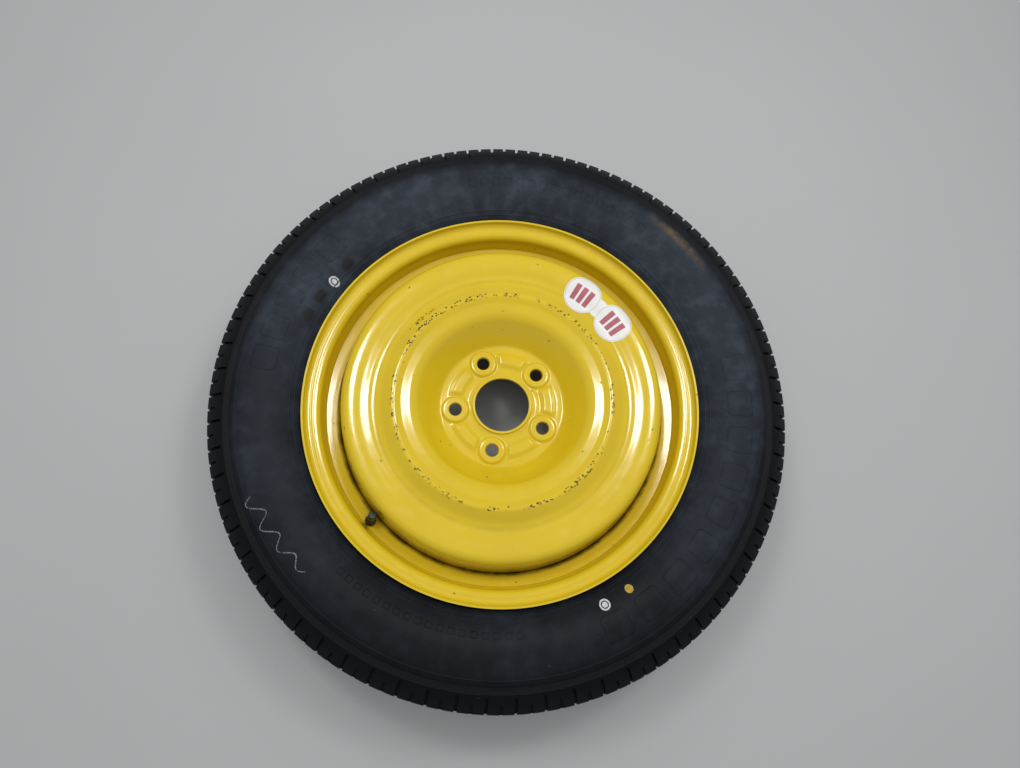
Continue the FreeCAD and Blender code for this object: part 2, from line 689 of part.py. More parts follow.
def main():
    """Build every piece, check the document and write one file for each piece."""
    pieces = [build_tyre(), build_rim(), build_disc(), build_welds(), build_label()]
    pieces += build_valve() + build_core_pin() + build_cap()
    doc.recompute()
    for item in doc.Objects:
        if "Invalid" in item.State or "Error" in item.State:
            raise RuntimeError(f"{item.Label} failed to build")
    for piece in pieces:
        if piece.Shape.isNull() or not piece.Shape.isValid():
            raise RuntimeError(f"{piece.Label} has no valid shape")
    os.makedirs("parts", exist_ok=True)
    for piece in pieces:
        piece.Shape.exportStep(f"parts/{piece.Label}.step")
        print(piece.Label, round(piece.Shape.Volume, 1), "mm3,", len(piece.Shape.Solids), "solids")


main()
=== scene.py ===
"""Looks of a temporary-use spare wheel: yellow pressed-steel wheel, narrow tyre, snap-in valve and label.

The wheel lies flat with its axis along +Z, +X through one bolt hole and the valve at -X.
Profiles are written in millimetres as (radius, height, bend radius) and leave as metres.
"""

import json
import logging
import math
from collections.abc import Callable
from dataclasses import dataclass
from enum import Enum
from functools import reduce

import bmesh
import bpy
import numpy as np
from mathutils import Matrix, Vector


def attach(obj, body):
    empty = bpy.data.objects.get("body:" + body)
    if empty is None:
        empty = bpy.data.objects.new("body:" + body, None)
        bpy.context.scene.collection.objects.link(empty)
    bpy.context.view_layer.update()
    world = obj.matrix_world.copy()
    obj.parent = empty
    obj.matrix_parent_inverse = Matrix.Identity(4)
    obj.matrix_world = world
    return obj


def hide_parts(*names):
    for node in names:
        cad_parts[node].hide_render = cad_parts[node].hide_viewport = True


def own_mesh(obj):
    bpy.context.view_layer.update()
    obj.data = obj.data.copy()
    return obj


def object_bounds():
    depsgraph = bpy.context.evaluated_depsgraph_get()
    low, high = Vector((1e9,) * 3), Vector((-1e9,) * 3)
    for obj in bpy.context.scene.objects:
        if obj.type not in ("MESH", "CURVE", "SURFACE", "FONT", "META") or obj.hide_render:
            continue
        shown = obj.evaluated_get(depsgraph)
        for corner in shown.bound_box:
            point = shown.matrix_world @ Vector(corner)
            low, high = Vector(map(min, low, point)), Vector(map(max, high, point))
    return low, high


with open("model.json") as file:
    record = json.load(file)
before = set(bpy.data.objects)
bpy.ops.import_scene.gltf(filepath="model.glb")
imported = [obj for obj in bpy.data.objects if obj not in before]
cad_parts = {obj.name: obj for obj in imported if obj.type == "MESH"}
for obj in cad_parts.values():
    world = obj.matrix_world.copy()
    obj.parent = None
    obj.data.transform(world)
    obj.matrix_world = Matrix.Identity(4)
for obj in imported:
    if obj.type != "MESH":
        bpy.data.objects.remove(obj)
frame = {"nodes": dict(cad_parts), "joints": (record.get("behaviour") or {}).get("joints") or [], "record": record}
CAD_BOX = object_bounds()

LOG = logging.getLogger("spare_wheel")
MM = 0.001
# Radians under which a corner counts as straight, and the least bend of a shifted corner in millimetres
STRAIGHT_TURN = 1e-6
LEAST_BEND = 0.3
# The label's place on the dome, shared by its film and its print: radius, angle and half spread of its lobes
LABEL_RADIUS = 164.5
LABEL_TURN = math.radians(2.6)
LABEL_SPREAD = 25.7

Corner = tuple[float, ...]
Pair = tuple[float, float]
Triple = tuple[float, float, float]
Span = tuple[float, float, float, float]
Colour = tuple[float, float, float, float]
Object = bpy.types.Object
Material = bpy.types.Material
NodeTree = bpy.types.NodeTree
Socket = bpy.types.NodeSocket
Outputs = dict[str, Socket]


class Slot(Enum):
    """Material slots of the record."""

    TYRE = "tyre"
    PAINT = "wheel_paint"
    LABEL = "label"
    VALVE_RUBBER = "valve_rubber"
    BRASS = "brass"
    SEALS = "core_seals"
    SPRING = "spring_steel"
    CAP = "cap_plastic"


class Body(Enum):
    """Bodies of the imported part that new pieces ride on."""

    WHEEL = "wheel"
    CAP = "cap"


def bend_of(corner: Corner) -> float:
    """The bend radius of a profile corner, or 0 for a sharp one."""
    return corner[2] if len(corner) > 2 else 0.0


def rounded_profile(corners: list[Corner], arc_step: float, line_step: float) -> np.ndarray:
    """Walk along straight runs between corners, with a tangent arc at each corner that has a bend radius.

    Args:
        corners: (radius, height) or (radius, height, bend radius) in millimetres, from one end to the other.
        arc_step: Largest turn between two points of an arc, in degrees.
        line_step: Largest distance between two points of a straight run.

    Returns:
        Points of shape (n, 2).
    """
    places = np.array([corner[:2] for corner in corners], float)
    stops = [places[:1]]
    for i in range(1, len(corners) - 1):
        bend = bend_of(corners[i])
        into = places[i] - places[i - 1]
        out = places[i + 1] - places[i]
        into /= np.linalg.norm(into)
        out /= np.linalg.norm(out)
        turn = math.atan2(into[0] * out[1] - into[1] * out[0], float(into @ out))
        if bend <= 0 or abs(turn) < STRAIGHT_TURN:
            stops.append(places[i:i + 1])
            continue
        first = places[i] - into * bend * math.tan(abs(turn) / 2)
        side = np.array([-into[1], into[0]]) * math.copysign(1.0, turn)
        centre = first + side * bend
        steps = max(2, math.ceil(abs(math.degrees(turn)) / arc_step) + 1)
        angle = np.linspace(0.0, turn, steps)[:, None]
        spoke = first - centre
        square = np.array([-spoke[1], spoke[0]])
        stops.append(centre + np.cos(angle) * spoke + np.sin(angle) * square)
    stops.append(places[-1:])
    walk = np.concatenate(stops)
    pieces = []
    for start, end in zip(walk[:-1], walk[1:]):
        count = max(1, math.ceil(float(np.linalg.norm(end - start)) / line_step))
        share = np.linspace(0.0, 1.0, count, endpoint=False)[:, None]
        pieces.append(start + (end - start) * share)
    pieces.append(walk[-1:])
    return np.concatenate(pieces)


def offset_corners(corners: list[Corner], distance: float) -> list[Corner]:
    """Shift every run of a profile sideways, to its left for a positive distance, and fit the bends to it.

    Args:
        corners: Profile corners, as rounded_profile takes them.
        distance: Shift in millimetres.

    Returns:
        The shifted corners.
    """
    places = np.array([corner[:2] for corner in corners], float)
    runs = places[1:] - places[:-1]
    runs /= np.linalg.norm(runs, axis=1)[:, None]
    sides = np.stack([-runs[:, 1], runs[:, 0]], 1)
    shifted = [tuple(places[0] + sides[0] * distance)]
    for i in range(1, len(corners) - 1):
        half = sides[i - 1] + sides[i]
        half /= float(half @ sides[i])
        bend = bend_of(corners[i])
        turn = runs[i - 1][0] * runs[i][1] - runs[i - 1][1] * runs[i][0]
        fitted = bend - math.copysign(1.0, turn) * distance
        shifted.append((*(places[i] + half * distance), max(fitted, LEAST_BEND) if bend else 0.0))
    shifted.append(tuple(places[-1] + sides[-1] * distance))
    return shifted


def normals_of(profile: np.ndarray) -> np.ndarray:
    """Unit normals of an open profile, to the left of its direction.

    Args:
        profile: Points of shape (n, 2).

    Returns:
        Normals of the same shape.
    """
    along = np.gradient(profile, axis=0)
    along /= np.linalg.norm(along, axis=1)[:, None]
    return np.stack([-along[:, 1], along[:, 0]], 1)


def ease(value: np.ndarray, start: float, end: float) -> np.ndarray:
    """Smooth step of a value, from 0 at start to 1 at end."""
    share = np.clip((value - start) / (end - start), 0.0, 1.0)
    return share * share * (3 - 2 * share)


def turn_angles(columns: int) -> np.ndarray:
    """Evenly spaced angles round the axis."""
    return np.linspace(0.0, 2 * math.pi, columns, endpoint=False)


def polar(radius: np.ndarray, angle: np.ndarray, height: np.ndarray) -> np.ndarray:
    """Points round the Z axis: x = r cos a, y = r sin a, z = h."""
    return np.stack([radius * np.cos(angle), radius * np.sin(angle), height], -1)


def lathe(profile: np.ndarray, angles: np.ndarray) -> np.ndarray:
    """Carry a profile round the Z axis.

    Args:
        profile: (radius, height) points of shape (rows, 2), or (rows, columns, 2) if they change with angle.
        angles: Angles of the columns.

    Returns:
        Grid of points of shape (rows, columns, 3).
    """
    shaped = profile[:, None, :] if profile.ndim == 2 else profile
    radius = np.broadcast_to(shaped[..., 0], (len(profile), len(angles)))
    height = np.broadcast_to(shaped[..., 1], (len(profile), len(angles)))
    return polar(radius, angles, height)


class Shell:
    """Grids gathered into one mesh, in millimetres."""

    def __init__(self) -> None:
        """Start with no points and no faces."""
        self.points: list[np.ndarray] = []
        self.faces: list[np.ndarray] = []
        self.count = 0

    def add_points(self, grid: np.ndarray) -> np.ndarray:
        """Store a grid's points.

        Args:
            grid: Points of shape (..., 3).

        Returns:
            Their indices, in the grid's shape.
        """
        flat = grid.reshape(-1, 3)
        index = np.arange(self.count, self.count + len(flat)).reshape(grid.shape[:-1])
        self.points.append(flat)
        self.count += len(flat)
        return index

    def add_quads(self, index: np.ndarray, wrap_columns: bool = True, wrap_rows: bool = False) -> None:
        """Join neighbouring rows and columns of stored points with quads.

        Args:
            index: Point indices of shape (rows, columns).
            wrap_columns: Close the grid from its last column to its first.
            wrap_rows: Close the grid from its last row to its first.
        """
        if wrap_columns:
            index = np.concatenate([index, index[:, :1]], 1)
        if wrap_rows:
            index = np.concatenate([index, index[:1]], 0)
        quads = np.stack([index[:-1, :-1], index[:-1, 1:], index[1:, 1:], index[1:, :-1]], -1)
        self.faces.append(quads.reshape(-1, 4))

    def add_grid(self, grid: np.ndarray, wrap_columns: bool = True, wrap_rows: bool = False) -> np.ndarray:
        """Store a grid and its quads.

        Args:
            grid: Points of shape (rows, columns, 3).
            wrap_columns: Close it from the last column to the first.
            wrap_rows: Close it from the last row to the first.

        Returns:
            The points' indices.
        """
        index = self.add_points(grid)
        self.add_quads(index, wrap_columns, wrap_rows)
        return index

    def add_bar(self, grid: np.ndarray) -> None:
        """Store a bar with closed sections and flat ends.

        Args:
            grid: Points of shape (points round a section, sections, 3).
        """
        index = self.add_grid(grid, wrap_columns=False, wrap_rows=True)
        for end in (index[:, 0], index[:, -1]):
            self.faces.append(end.reshape(1, -1))

    def add_stitch(self, coarse: np.ndarray, fine: np.ndarray, fine_first: bool) -> None:
        """Join a coarse ring to a fine ring with a multiple of its points, by one wide face a coarse step.

        Args:
            coarse: Point indices of the coarse ring.
            fine: Point indices of the fine ring, which starts at the same angle.
            fine_first: True where the fine ring is the earlier row.
        """
        ratio = len(fine) // len(coarse)
        picks = np.arange(len(coarse))[:, None] * ratio + np.arange(ratio + 1)
        spans = np.concatenate([fine, fine[:1]])[picks]
        ends = np.stack([coarse, np.roll(coarse, -1)], 1)
        parts = [spans, ends[:, ::-1]] if fine_first else [ends, spans[:, ::-1]]
        self.faces.append(np.concatenate(parts, 1))

    def build(self, name: str, sharp_angle: float = 35.0, place: Matrix | None = None,
              weld: float = 1e-4) -> Object:
        """Make the mesh and its object at the origin.

        Args:
            name: Name of the piece.
            sharp_angle: Edges that turn more than this many degrees stay sharp.
            place: Where the shape stands, in metres, written into the mesh.
            weld: Points closer than this many millimetres become one.

        Returns:
            The new object.
        """
        mesh = bpy.data.meshes.new(name)
        points = np.concatenate(self.points) * MM
        faces = [face for group in self.faces for face in group.tolist()]
        mesh.from_pydata(points.tolist(), [], faces)
        edit = bmesh.new()
        edit.from_mesh(mesh)
        bmesh.ops.remove_doubles(edit, verts=edit.verts, dist=weld * MM)
        bmesh.ops.dissolve_degenerate(edit, edges=edit.edges, dist=weld * MM)
        bmesh.ops.recalc_face_normals(edit, faces=edit.faces)
        edit.to_mesh(mesh)
        edit.free()
        if place is not None:
            mesh.transform(place)
        mesh.shade_smooth()
        mesh.set_sharp_from_angle(angle=math.radians(sharp_angle))
        piece = bpy.data.objects.new(name, mesh)
        bpy.context.scene.collection.objects.link(piece)
        return piece


def settle(piece: Object, body: Body, slot: Slot, material: Material, *nodes: str) -> None:
    """Dress a piece, let it ride on its body and hide the CAD nodes that it replaces.

    Args:
        piece: The new object.
        body: Body that carries it.
        slot: Record slot of its finish; not used.
        material: Its material.
        nodes: CAD nodes that it replaces.
    """
    piece.data.materials.clear()
    piece.data.materials.append(material)
    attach(piece, body.value)
    if nodes:
        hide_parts(*nodes)
    LOG.info("%s: %d faces on body %s", piece.name, len(piece.data.polygons), body.value)


class NodeBoard:
    """A node tree with short calls that add nodes and join them."""

    # Places of the Mix node's colour sockets
    MIX_FACTOR, MIX_FIRST, MIX_SECOND, MIX_RESULT = 0, 6, 7, 2

    def __init__(self, tree: NodeTree) -> None:
        """Work on one tree."""
        self.tree = tree

    def feed(self, socket: Socket, value: object) -> None:
        """Link a socket to another, or set its own value.

        Args:
            socket: Input to fill.
            value: Output of another node, or a number, colour or vector.
        """
        if isinstance(value, Socket):
            self.tree.links.new(value, socket)
        else:
            socket.default_value = value

    def add(self, kind: str, inputs: dict[str | int, object] | None = None,
            **settings: object) -> bpy.types.Node:
        """Add a node.

        Args:
            kind: Node type without its ShaderNode prefix.
            inputs: Values or sockets for its inputs, by name or place.
            settings: Properties of the node.

        Returns:
            The node.
        """
        node = self.tree.nodes.new("ShaderNode" + kind)
        for key, value in settings.items():
            setattr(node, key, value)
        for key, value in (inputs or {}).items():
            self.feed(node.inputs[key], value)
        return node

    def place(self) -> Socket:
        """The point's place in the object's own frame."""
        return self.add("TexCoord").outputs["Object"]

    def math(self, operation: str, first: object, second: object = 0.0) -> Socket:
        """One arithmetic step on two numbers or sockets."""
        return self.add("Math", {0: first, 1: second}, operation=operation).outputs[0]

    def times(self, *factors: object) -> Socket:
        """Product of numbers and sockets."""
        return reduce(lambda product, factor: self.math("MULTIPLY", product, factor), factors)

    def mix(self, factor: object, first: object, second: object) -> Socket:
        """Mix two colours: the first where the factor is 0, the second where it is 1."""
        inputs = {self.MIX_FACTOR: factor, self.MIX_FIRST: first, self.MIX_SECOND: second}
        return self.add("Mix", inputs, data_type="RGBA").outputs[self.MIX_RESULT]

    def span(self, value: object, low: object, high: object, to_low: float = 0.0,
             to_high: float = 1.0) -> Socket:
        """Smooth step of a value from low..high to to_low..to_high, clamped."""
        inputs = {"Value": value, "From Min": low, "From Max": high, "To Min": to_low, "To Max": to_high}
        return self.add("MapRange", inputs, interpolation_type="SMOOTHSTEP").outputs["Result"]

    def noise(self, scale: object, detail: float = 4.0, rough: float = 0.5) -> Socket:
        """Cloudy noise between 0 and 1."""
        inputs = {"Vector": self.place(), "Scale": scale, "Detail": detail, "Roughness": rough}
        return self.add("TexNoise", inputs).outputs["Fac"]

    def bump(self, height: object, strength: float, distance: float) -> Socket:
        """The normal, bent by a height."""
        inputs = {"Height": height, "Strength": strength, "Distance": distance}
        return self.add("Bump", inputs).outputs["Normal"]

    def group(self, tree: NodeTree, *values: object) -> list[Socket]:
        """Place a shared group.

        Args:
            tree: The group.
            values: Values or sockets for its inputs, in order.

        Returns:
            Its outputs.
        """
        node = self.tree.nodes.new("ShaderNodeGroup")
        node.node_tree = tree
        for socket, value in zip(node.inputs, values):
            self.feed(socket, value)
        return list(node.outputs)


class Effects:
    """Shader groups that several finishes share, each built once."""

    ragged_scale: float = 2.5
    ragged_edge: Pair = (0.3, 0.7)
    ragged_reach: Pair = (0.4, 1.6)

    def __init__(self) -> None:
        """Build the groups."""
        self.ring = self._group("ring_place", (), self._ring_place)
        self.band = self._group("band", ("Value", "Centre", "Half Width"), self._band)
        self.specks = self._group("specks", ("Scale", "Size", "Density"), self._specks)
        self.clouds = self._group("clouds", ("Scale", "Low", "High"), self._clouds)
        self.grain = self._group("grain", ("Scale",), self._grain)

    @staticmethod
    def _group(name: str, inputs: tuple[str, ...], rule: Callable[..., Outputs]) -> NodeTree:
        """Build one group.

        Args:
            name: Name of the group.
            inputs: Names of its number inputs.
            rule: Takes the group's board and its input sockets, and gives the outputs by name.

        Returns:
            The group's tree.
        """
        tree = bpy.data.node_groups.new(name, "ShaderNodeTree")
        for key in inputs:
            tree.interface.new_socket(key, in_out="INPUT", socket_type="NodeSocketFloat")
        board = NodeBoard(tree)
        given = tree.nodes.new("NodeGroupInput")
        made = rule(board, *[given.outputs[key] for key in inputs])
        for key in made:
            tree.interface.new_socket(key, in_out="OUTPUT", socket_type="NodeSocketFloat")
        result = tree.nodes.new("NodeGroupOutput")
        for key, socket in made.items():
            board.feed(result.inputs[key], socket)
        return tree

    @staticmethod
    def _ring_place(board: NodeBoard) -> Outputs:
        """Radius from the wheel's axis, height and angle of a point, in metres and radians.

        Args:
            board: Board of the group.

        Returns:
            The three outputs by name.
        """
        x, y, z = board.add("SeparateXYZ", {"Vector": board.place()}).outputs
        square = board.math("ADD", board.times(x, x), board.times(y, y))
        return {"Radius": board.math("SQRT", square), "Height": z, "Angle": board.math("ARCTAN2", y, x)}

    @staticmethod
    def _band(board: NodeBoard, value: Socket, centre: Socket, half_width: Socket) -> Outputs:
        """1 at the centre of a band of a value, falling smoothly to 0 at its half width."""
        away = board.math("ABSOLUTE", board.math("SUBTRACT", value, centre))
        return {"Mask": board.span(board.math("DIVIDE", away, half_width), 0.0, 1.0, 1.0, 0.0)}

    def _specks(self, board: NodeBoard, scale: Socket, size: Socket, density: Socket) -> Outputs:
        """Small ragged spots, one to a cell.

        Args:
            board: Board of the group.
            scale: Cells in a metre.
            size: How far a spot reaches, as a share of its cell.
            density: Share of the cells that hold one.

        Returns:
            The mask by name.
        """
        ragged = board.noise(board.times(scale, self.ragged_scale), detail=3.0)
        cells = board.add("TexVoronoi", {"Vector": board.place(), "Scale": scale}).outputs
        reach = board.times(size, board.span(ragged, *self.ragged_edge, *self.ragged_reach))
        inside = board.math("LESS_THAN", cells["Distance"], reach)
        lot = board.add("SeparateColor", {"Color": cells["Color"]}).outputs["Red"]
        return {"Mask": board.times(inside, board.math("LESS_THAN", lot, density))}

    @staticmethod
    def _clouds(board: NodeBoard, scale: Socket, low: Socket, high: Socket) -> Outputs:
        """Soft patches: noise of a scale, cut between low and high."""
        return {"Mask": board.span(board.noise(scale, detail=6.0, rough=0.6), low, high)}

    @staticmethod
    def _grain(board: NodeBoard, scale: Socket) -> Outputs:
        """Height of a fine even grain."""
        return {"Height": board.noise(scale, detail=2.0)}


class ShaderBoard(NodeBoard):
    """The board of a material, which knows its Principled shader and the shared groups."""

    def __init__(self, tree: NodeTree, effects: Effects) -> None:
        """Work on a material's tree.

        Args:
            tree: The tree, with its Principled shader.
            effects: Shared groups.
        """
        super().__init__(tree)
        self.effects = effects
        self.shader = tree.nodes["Principled BSDF"]

    def set(self, name: str, value: object) -> None:
        """Feed one input of the shader."""
        self.feed(self.shader.inputs[name], value)

    def ring(self) -> list[Socket]:
        """Radius, height and angle of the point."""
        return self.group(self.effects.ring)

    def band(self, value: Socket, centre: float, half_width: float) -> Socket:
        """Mask of a band of a value."""
        return self.group(self.effects.band, value, centre, half_width)[0]

    def specks(self, scale: float, size: float, density: float) -> Socket:
        """Mask of small ragged spots."""
        return self.group(self.effects.specks, scale, size, density)[0]

    def clouds(self, scale: float, low: float, high: float) -> Socket:
        """Mask of soft patches."""
        return self.group(self.effects.clouds, scale, low, high)[0]

    def grain(self, scale: float) -> Socket:
        """Height of a fine even grain."""
        return self.group(self.effects.grain, scale)[0]


@dataclass(frozen=True)
class Finish:
    """A named material. Fields hold clouds as (scale, low, high), specks as (scale, size, density), bands as
    (centre, half width), bumps as (strength, distance) and spans as (from low, from high, to low, to high).
    """

    name: str

    def make(self, effects: Effects) -> Material:
        """Build the material.

        Args:
            effects: Shared groups.

        Returns:
            The material.
        """
        material = bpy.data.materials.new(self.name)
        material.use_nodes = True
        self.dress(ShaderBoard(material.node_tree, effects))
        return material

    def dress(self, board: ShaderBoard) -> None:
        """Feed the shader's inputs.

        Args:
            board: Board of the material.
        """
        raise NotImplementedError


@dataclass(frozen=True)
class PaintFinish(Finish):
    """Glossy yellow wheel paint, chipped along the crown ridge, with painted shade mixed with brown soil in the
    gutter and the groove.
    """

    name: str = "paint_gold"
    colour: Colour = (0.66, 0.472, 0.012, 1.0)
    shade: Colour = (0.56, 0.375, 0.010, 1.0)
    # Dark brown painted shade, mixed with soil, for the gutter between disc and rim and for the groove
    shade_and_grime: Colour = (0.10, 0.058, 0.012, 1.0)
    chip: Colour = (0.036, 0.020, 0.009, 1.0)
    face_heights: Pair = (0.055, 0.062)
    patches: Triple = (14.0, 0.35, 0.75)
    patch_share: float = 0.35
    gutter: Pair = (0.1995, 0.0045)
    gutter_shade_and_soil: float = 0.9
    groove: Pair = (0.1505, 0.004)
    groove_shade_and_soil: float = 0.14
    soil: Triple = (45.0, 0.3, 0.65)
    soil_span: Span = (0.0, 1.0, 0.4, 1.0)
    ridge: Pair = (0.1292, 0.0042)
    worn: Triple = (26.0, 0.42, 0.56)
    chips: Triple = (330.0, 0.42, 0.62)
    chip_edge: Pair = (0.16, 0.3)
    streak: Pair = (0.1385, 0.0048)
    streak_reach: Pair = (1.62, 0.34)
    streak_edge: Pair = (0.3, 0.5)
    spots: Triple = (150.0, 0.16, 0.02)
    spot_share: float = 0.75
    haze: Triple = (60.0, 0.3, 0.8)
    rough_span: Span = (0.0, 1.0, 0.15, 0.24)
    rough_marks: float = 0.4
    coat: float = 0.5
    coat_rough: float = 0.06
    peel_scale: float = 330.0
    peel_height: float = 0.12
    bump: Pair = (0.35, 0.00025)

    def dress(self, board: ShaderBoard) -> None:
        """Lay patches, painted shade with soil in the gutter and the groove, chips and spots over the colour, and
        an orange peel over the gloss.

        Args:
            board: Board of the material.
        """
        radius, height, angle = board.ring()
        patches = board.clouds(*self.patches)
        colour = board.mix(board.times(patches, self.patch_share), self.colour, self.shade)
        # Painted shade: the gutter between disc and rim and the groove are darkened to brown, partly soil, in
        # cloudy patches
        gutter = board.times(board.band(radius, *self.gutter), self.gutter_shade_and_soil)
        groove = board.times(board.band(radius, *self.groove), self.groove_shade_and_soil)
        soil = board.span(board.clouds(*self.soil), *self.soil_span)
        colour = board.mix(board.times(board.math("MAXIMUM", gutter, groove), soil), colour, self.shade_and_grime)
        chips = board.specks(*self.chips)
        worn = board.clouds(*self.worn)
        ridge = board.times(board.band(radius, *self.ridge), worn, chips)
        reach = board.band(angle, *self.streak_reach)
        streak = board.times(board.band(radius, *self.streak), reach, chips)
        bare = board.math("MAXIMUM", board.span(ridge, *self.chip_edge),
                          board.span(streak, *self.streak_edge))
        spots = board.times(board.specks(*self.spots), self.spot_share)
        marks = board.math("MAXIMUM", board.times(bare, board.span(height, *self.face_heights)), spots)
        board.set("Base Color", board.mix(marks, colour, self.chip))
        rough = board.span(board.clouds(*self.haze), *self.rough_span)
        board.set("Roughness", board.math("ADD", rough, board.times(marks, self.rough_marks)))
        board.set("Coat Weight", board.math("SUBTRACT", self.coat, board.times(marks, self.coat)))
        board.set("Coat Roughness", self.coat_rough)
        peel = board.times(board.grain(self.peel_scale), self.peel_height)
        board.set("Normal", board.bump(board.math("SUBTRACT", peel, marks), *self.bump))


@dataclass(frozen=True)
class RubberFinish(Finish):
    """Black tyre rubber with a dusty bluish film that is painted lighter on one side, a smear of mud near the
    shoulder and pale crumbs.
    """

    name: str = "rubber_tyre"
    colour: Colour = (0.0022, 0.0025, 0.0033, 1.0)
    dust: Colour = (0.050, 0.062, 0.081, 1.0)
    mud: Colour = (0.135, 0.088, 0.045, 1.0)
    film: Triple = (5.0, 0.30, 0.74)
    film_span: Span = (0.0, 1.0, 0.24, 0.66)
    fine: Triple = (55.0, 0.3, 0.8)
    fine_span: Span = (0.0, 1.0, 0.55, 1.0)
    wall: Pair = (0.269, 0.060)
    wall_span: Span = (0.0, 0.6, 0.05, 1.1)
    # Direction and span of the painted light: a straight gradient across the wheel that scales the dust film
    lit_side: Triple = (0.62, 0.78, 0.0)
    lit_side_span: Span = (-0.3, 0.2, 0.52, 1.2)
    smear: Pair = (0.3022, 0.0095)
    smear_reach: Pair = (0.02, 0.17)
    smear_grit: Triple = (120.0, 0.25, 0.72)
    smear_heights: Pair = (0.03, 0.05)
    crumbs: Triple = (170.0, 0.10, 0.04)
    crumb_share: float = 0.5
    rough_span: Span = (0.0, 0.6, 0.46, 0.68)
    specular: float = 0.14
    grain_scale: float = 900.0
    bump: Pair = (0.25, 0.0003)

    def dress(self, board: ShaderBoard) -> None:
        """Lay dust over the wall, with painted light that makes it stronger towards one side of the wheel and
        weaker towards the other, then the mud and the crumbs, and a fine grain.

        Args:
            board: Board of the material.
        """
        radius, height, angle = board.ring()
        film = board.span(board.clouds(*self.film), *self.film_span)
        fine = board.span(board.clouds(*self.fine), *self.fine_span)
        wall = board.span(board.band(radius, *self.wall), *self.wall_span)
        # Painted light: the gradient lightens the dust film on one side of the wheel and darkens it on the other
        side = board.add("VectorMath", {0: board.place(), 1: self.lit_side}, operation="DOT_PRODUCT")
        dusty = board.times(film, fine, wall, board.span(side.outputs["Value"], *self.lit_side_span))
        colour = board.mix(dusty, self.colour, self.dust)
        reach = board.math("SQRT", board.band(angle, *self.smear_reach))
        grit = board.clouds(*self.smear_grit)
        above = board.span(height, *self.smear_heights)
        mud = board.times(board.band(radius, *self.smear), reach, grit, above)
        colour = board.mix(mud, colour, self.mud)
        crumbs = board.times(board.specks(*self.crumbs), self.crumb_share)
        board.set("Base Color", board.mix(crumbs, colour, self.dust))
        board.set("Roughness", board.span(dusty, *self.rough_span))
        board.set("Specular IOR Level", self.specular)
        board.set("Normal", board.bump(board.grain(self.grain_scale), *self.bump))


@dataclass(frozen=True)
class PlainFinish(Finish):
    """A finish of one colour with slight patches, a grain and a set gloss; a worn one has gaps."""

    colour: Colour
    shade: Colour
    rough: Pair = (0.4, 0.55)
    metallic: float = 0.0
    worn: float = 0.0
    worn_scale: float = 650.0
    worn_edge: Pair = (-0.05, 0.1)
    patches: Triple = (300.0, 0.3, 0.75)
    grain_scale: float = 2500.0
    bump: Pair = (0.3, 0.00005)

    def dress(self, board: ShaderBoard) -> None:
        """Vary colour and gloss in the same patches, and bend the normal by the grain.

        Args:
            board: Board of the material.
        """
        patches = board.clouds(*self.patches)
        board.set("Base Color", board.mix(patches, self.colour, self.shade))
        board.set("Roughness", board.span(patches, 0.0, 1.0, *self.rough))
        board.set("Metallic", self.metallic)
        if self.worn:
            low, high = self.worn_edge
            gaps = board.clouds(self.worn_scale, self.worn + low, self.worn + high)
            board.set("Alpha", gaps)
        board.set("Normal", board.bump(board.grain(self.grain_scale), *self.bump))


@dataclass(frozen=True)
class LabelFinish(Finish):
    """White film with a thin grey ring and three dusty-red stripes on each lobe."""

    name: str = "film_print"
    white: Colour = (0.74, 0.73, 0.71, 1.0)
    soiled: Colour = (0.60, 0.57, 0.52, 1.0)
    red: Colour = (0.36, 0.055, 0.085, 1.0)
    grey: Colour = (0.30, 0.27, 0.28, 1.0)
    radius: float = LABEL_RADIUS * MM
    spread: float = LABEL_SPREAD * MM
    stripe_step: float = 0.0094
    stripe_half: Pair = (0.0031, 0.0102)
    print_edge: float = 0.0003
    ring: Pair = (0.0217, 0.0006)
    ring_share: float = 0.75
    soil: Triple = (70.0, 0.45, 0.85)
    soil_share: float = 0.6
    worn: Triple = (420.0, 0.25, 0.45)
    ink_span: Span = (0.0, 1.0, 0.7, 0.95)
    rough_span: Span = (0.0, 1.0, 0.28, 0.5)
    grain_scale: float = 300.0
    bump: Pair = (0.2, 0.0001)

    def bar(self, board: NodeBoard, away: Socket, half: float) -> Socket:
        """1 where a distance is within a half width, with a narrow soft edge."""
        return board.span(away, half, half + self.print_edge, 1.0, 0.0)

    def dress(self, board: ShaderBoard) -> None:
        """Print rings and stripes about the middle of each lobe, and soil the film.

        Args:
            board: Board of the material.
        """
        ring_radius, _, angle = board.ring()
        along = board.times(board.math("SUBTRACT", angle, LABEL_TURN), self.radius)
        out = board.math("SUBTRACT", ring_radius, self.radius)
        x = board.math("SUBTRACT", board.math("ABSOLUTE", along), self.spread)
        from_middle = board.math("ABSOLUTE", x)
        from_side = board.math("ABSOLUTE", board.math("SUBTRACT", from_middle, self.stripe_step))
        nearest = board.math("MINIMUM", from_middle, from_side)
        wide, tall = self.stripe_half
        height = board.math("ABSOLUTE", out)
        stripes = board.times(self.bar(board, nearest, wide), self.bar(board, height, tall))
        lobe = board.math("SQRT", board.math("ADD", board.times(x, x), board.times(out, out)))
        line = board.times(board.band(lobe, *self.ring), self.ring_share)
        soil = board.clouds(*self.soil)
        colour = board.mix(board.times(soil, self.soil_share), self.white, self.soiled)
        colour = board.mix(line, colour, self.grey)
        ink = board.times(stripes, board.span(board.clouds(*self.worn), *self.ink_span))
        board.set("Base Color", board.mix(ink, colour, self.red))
        board.set("Roughness", board.span(soil, *self.rough_span))
        board.set("Normal", board.bump(board.grain(self.grain_scale), *self.bump))


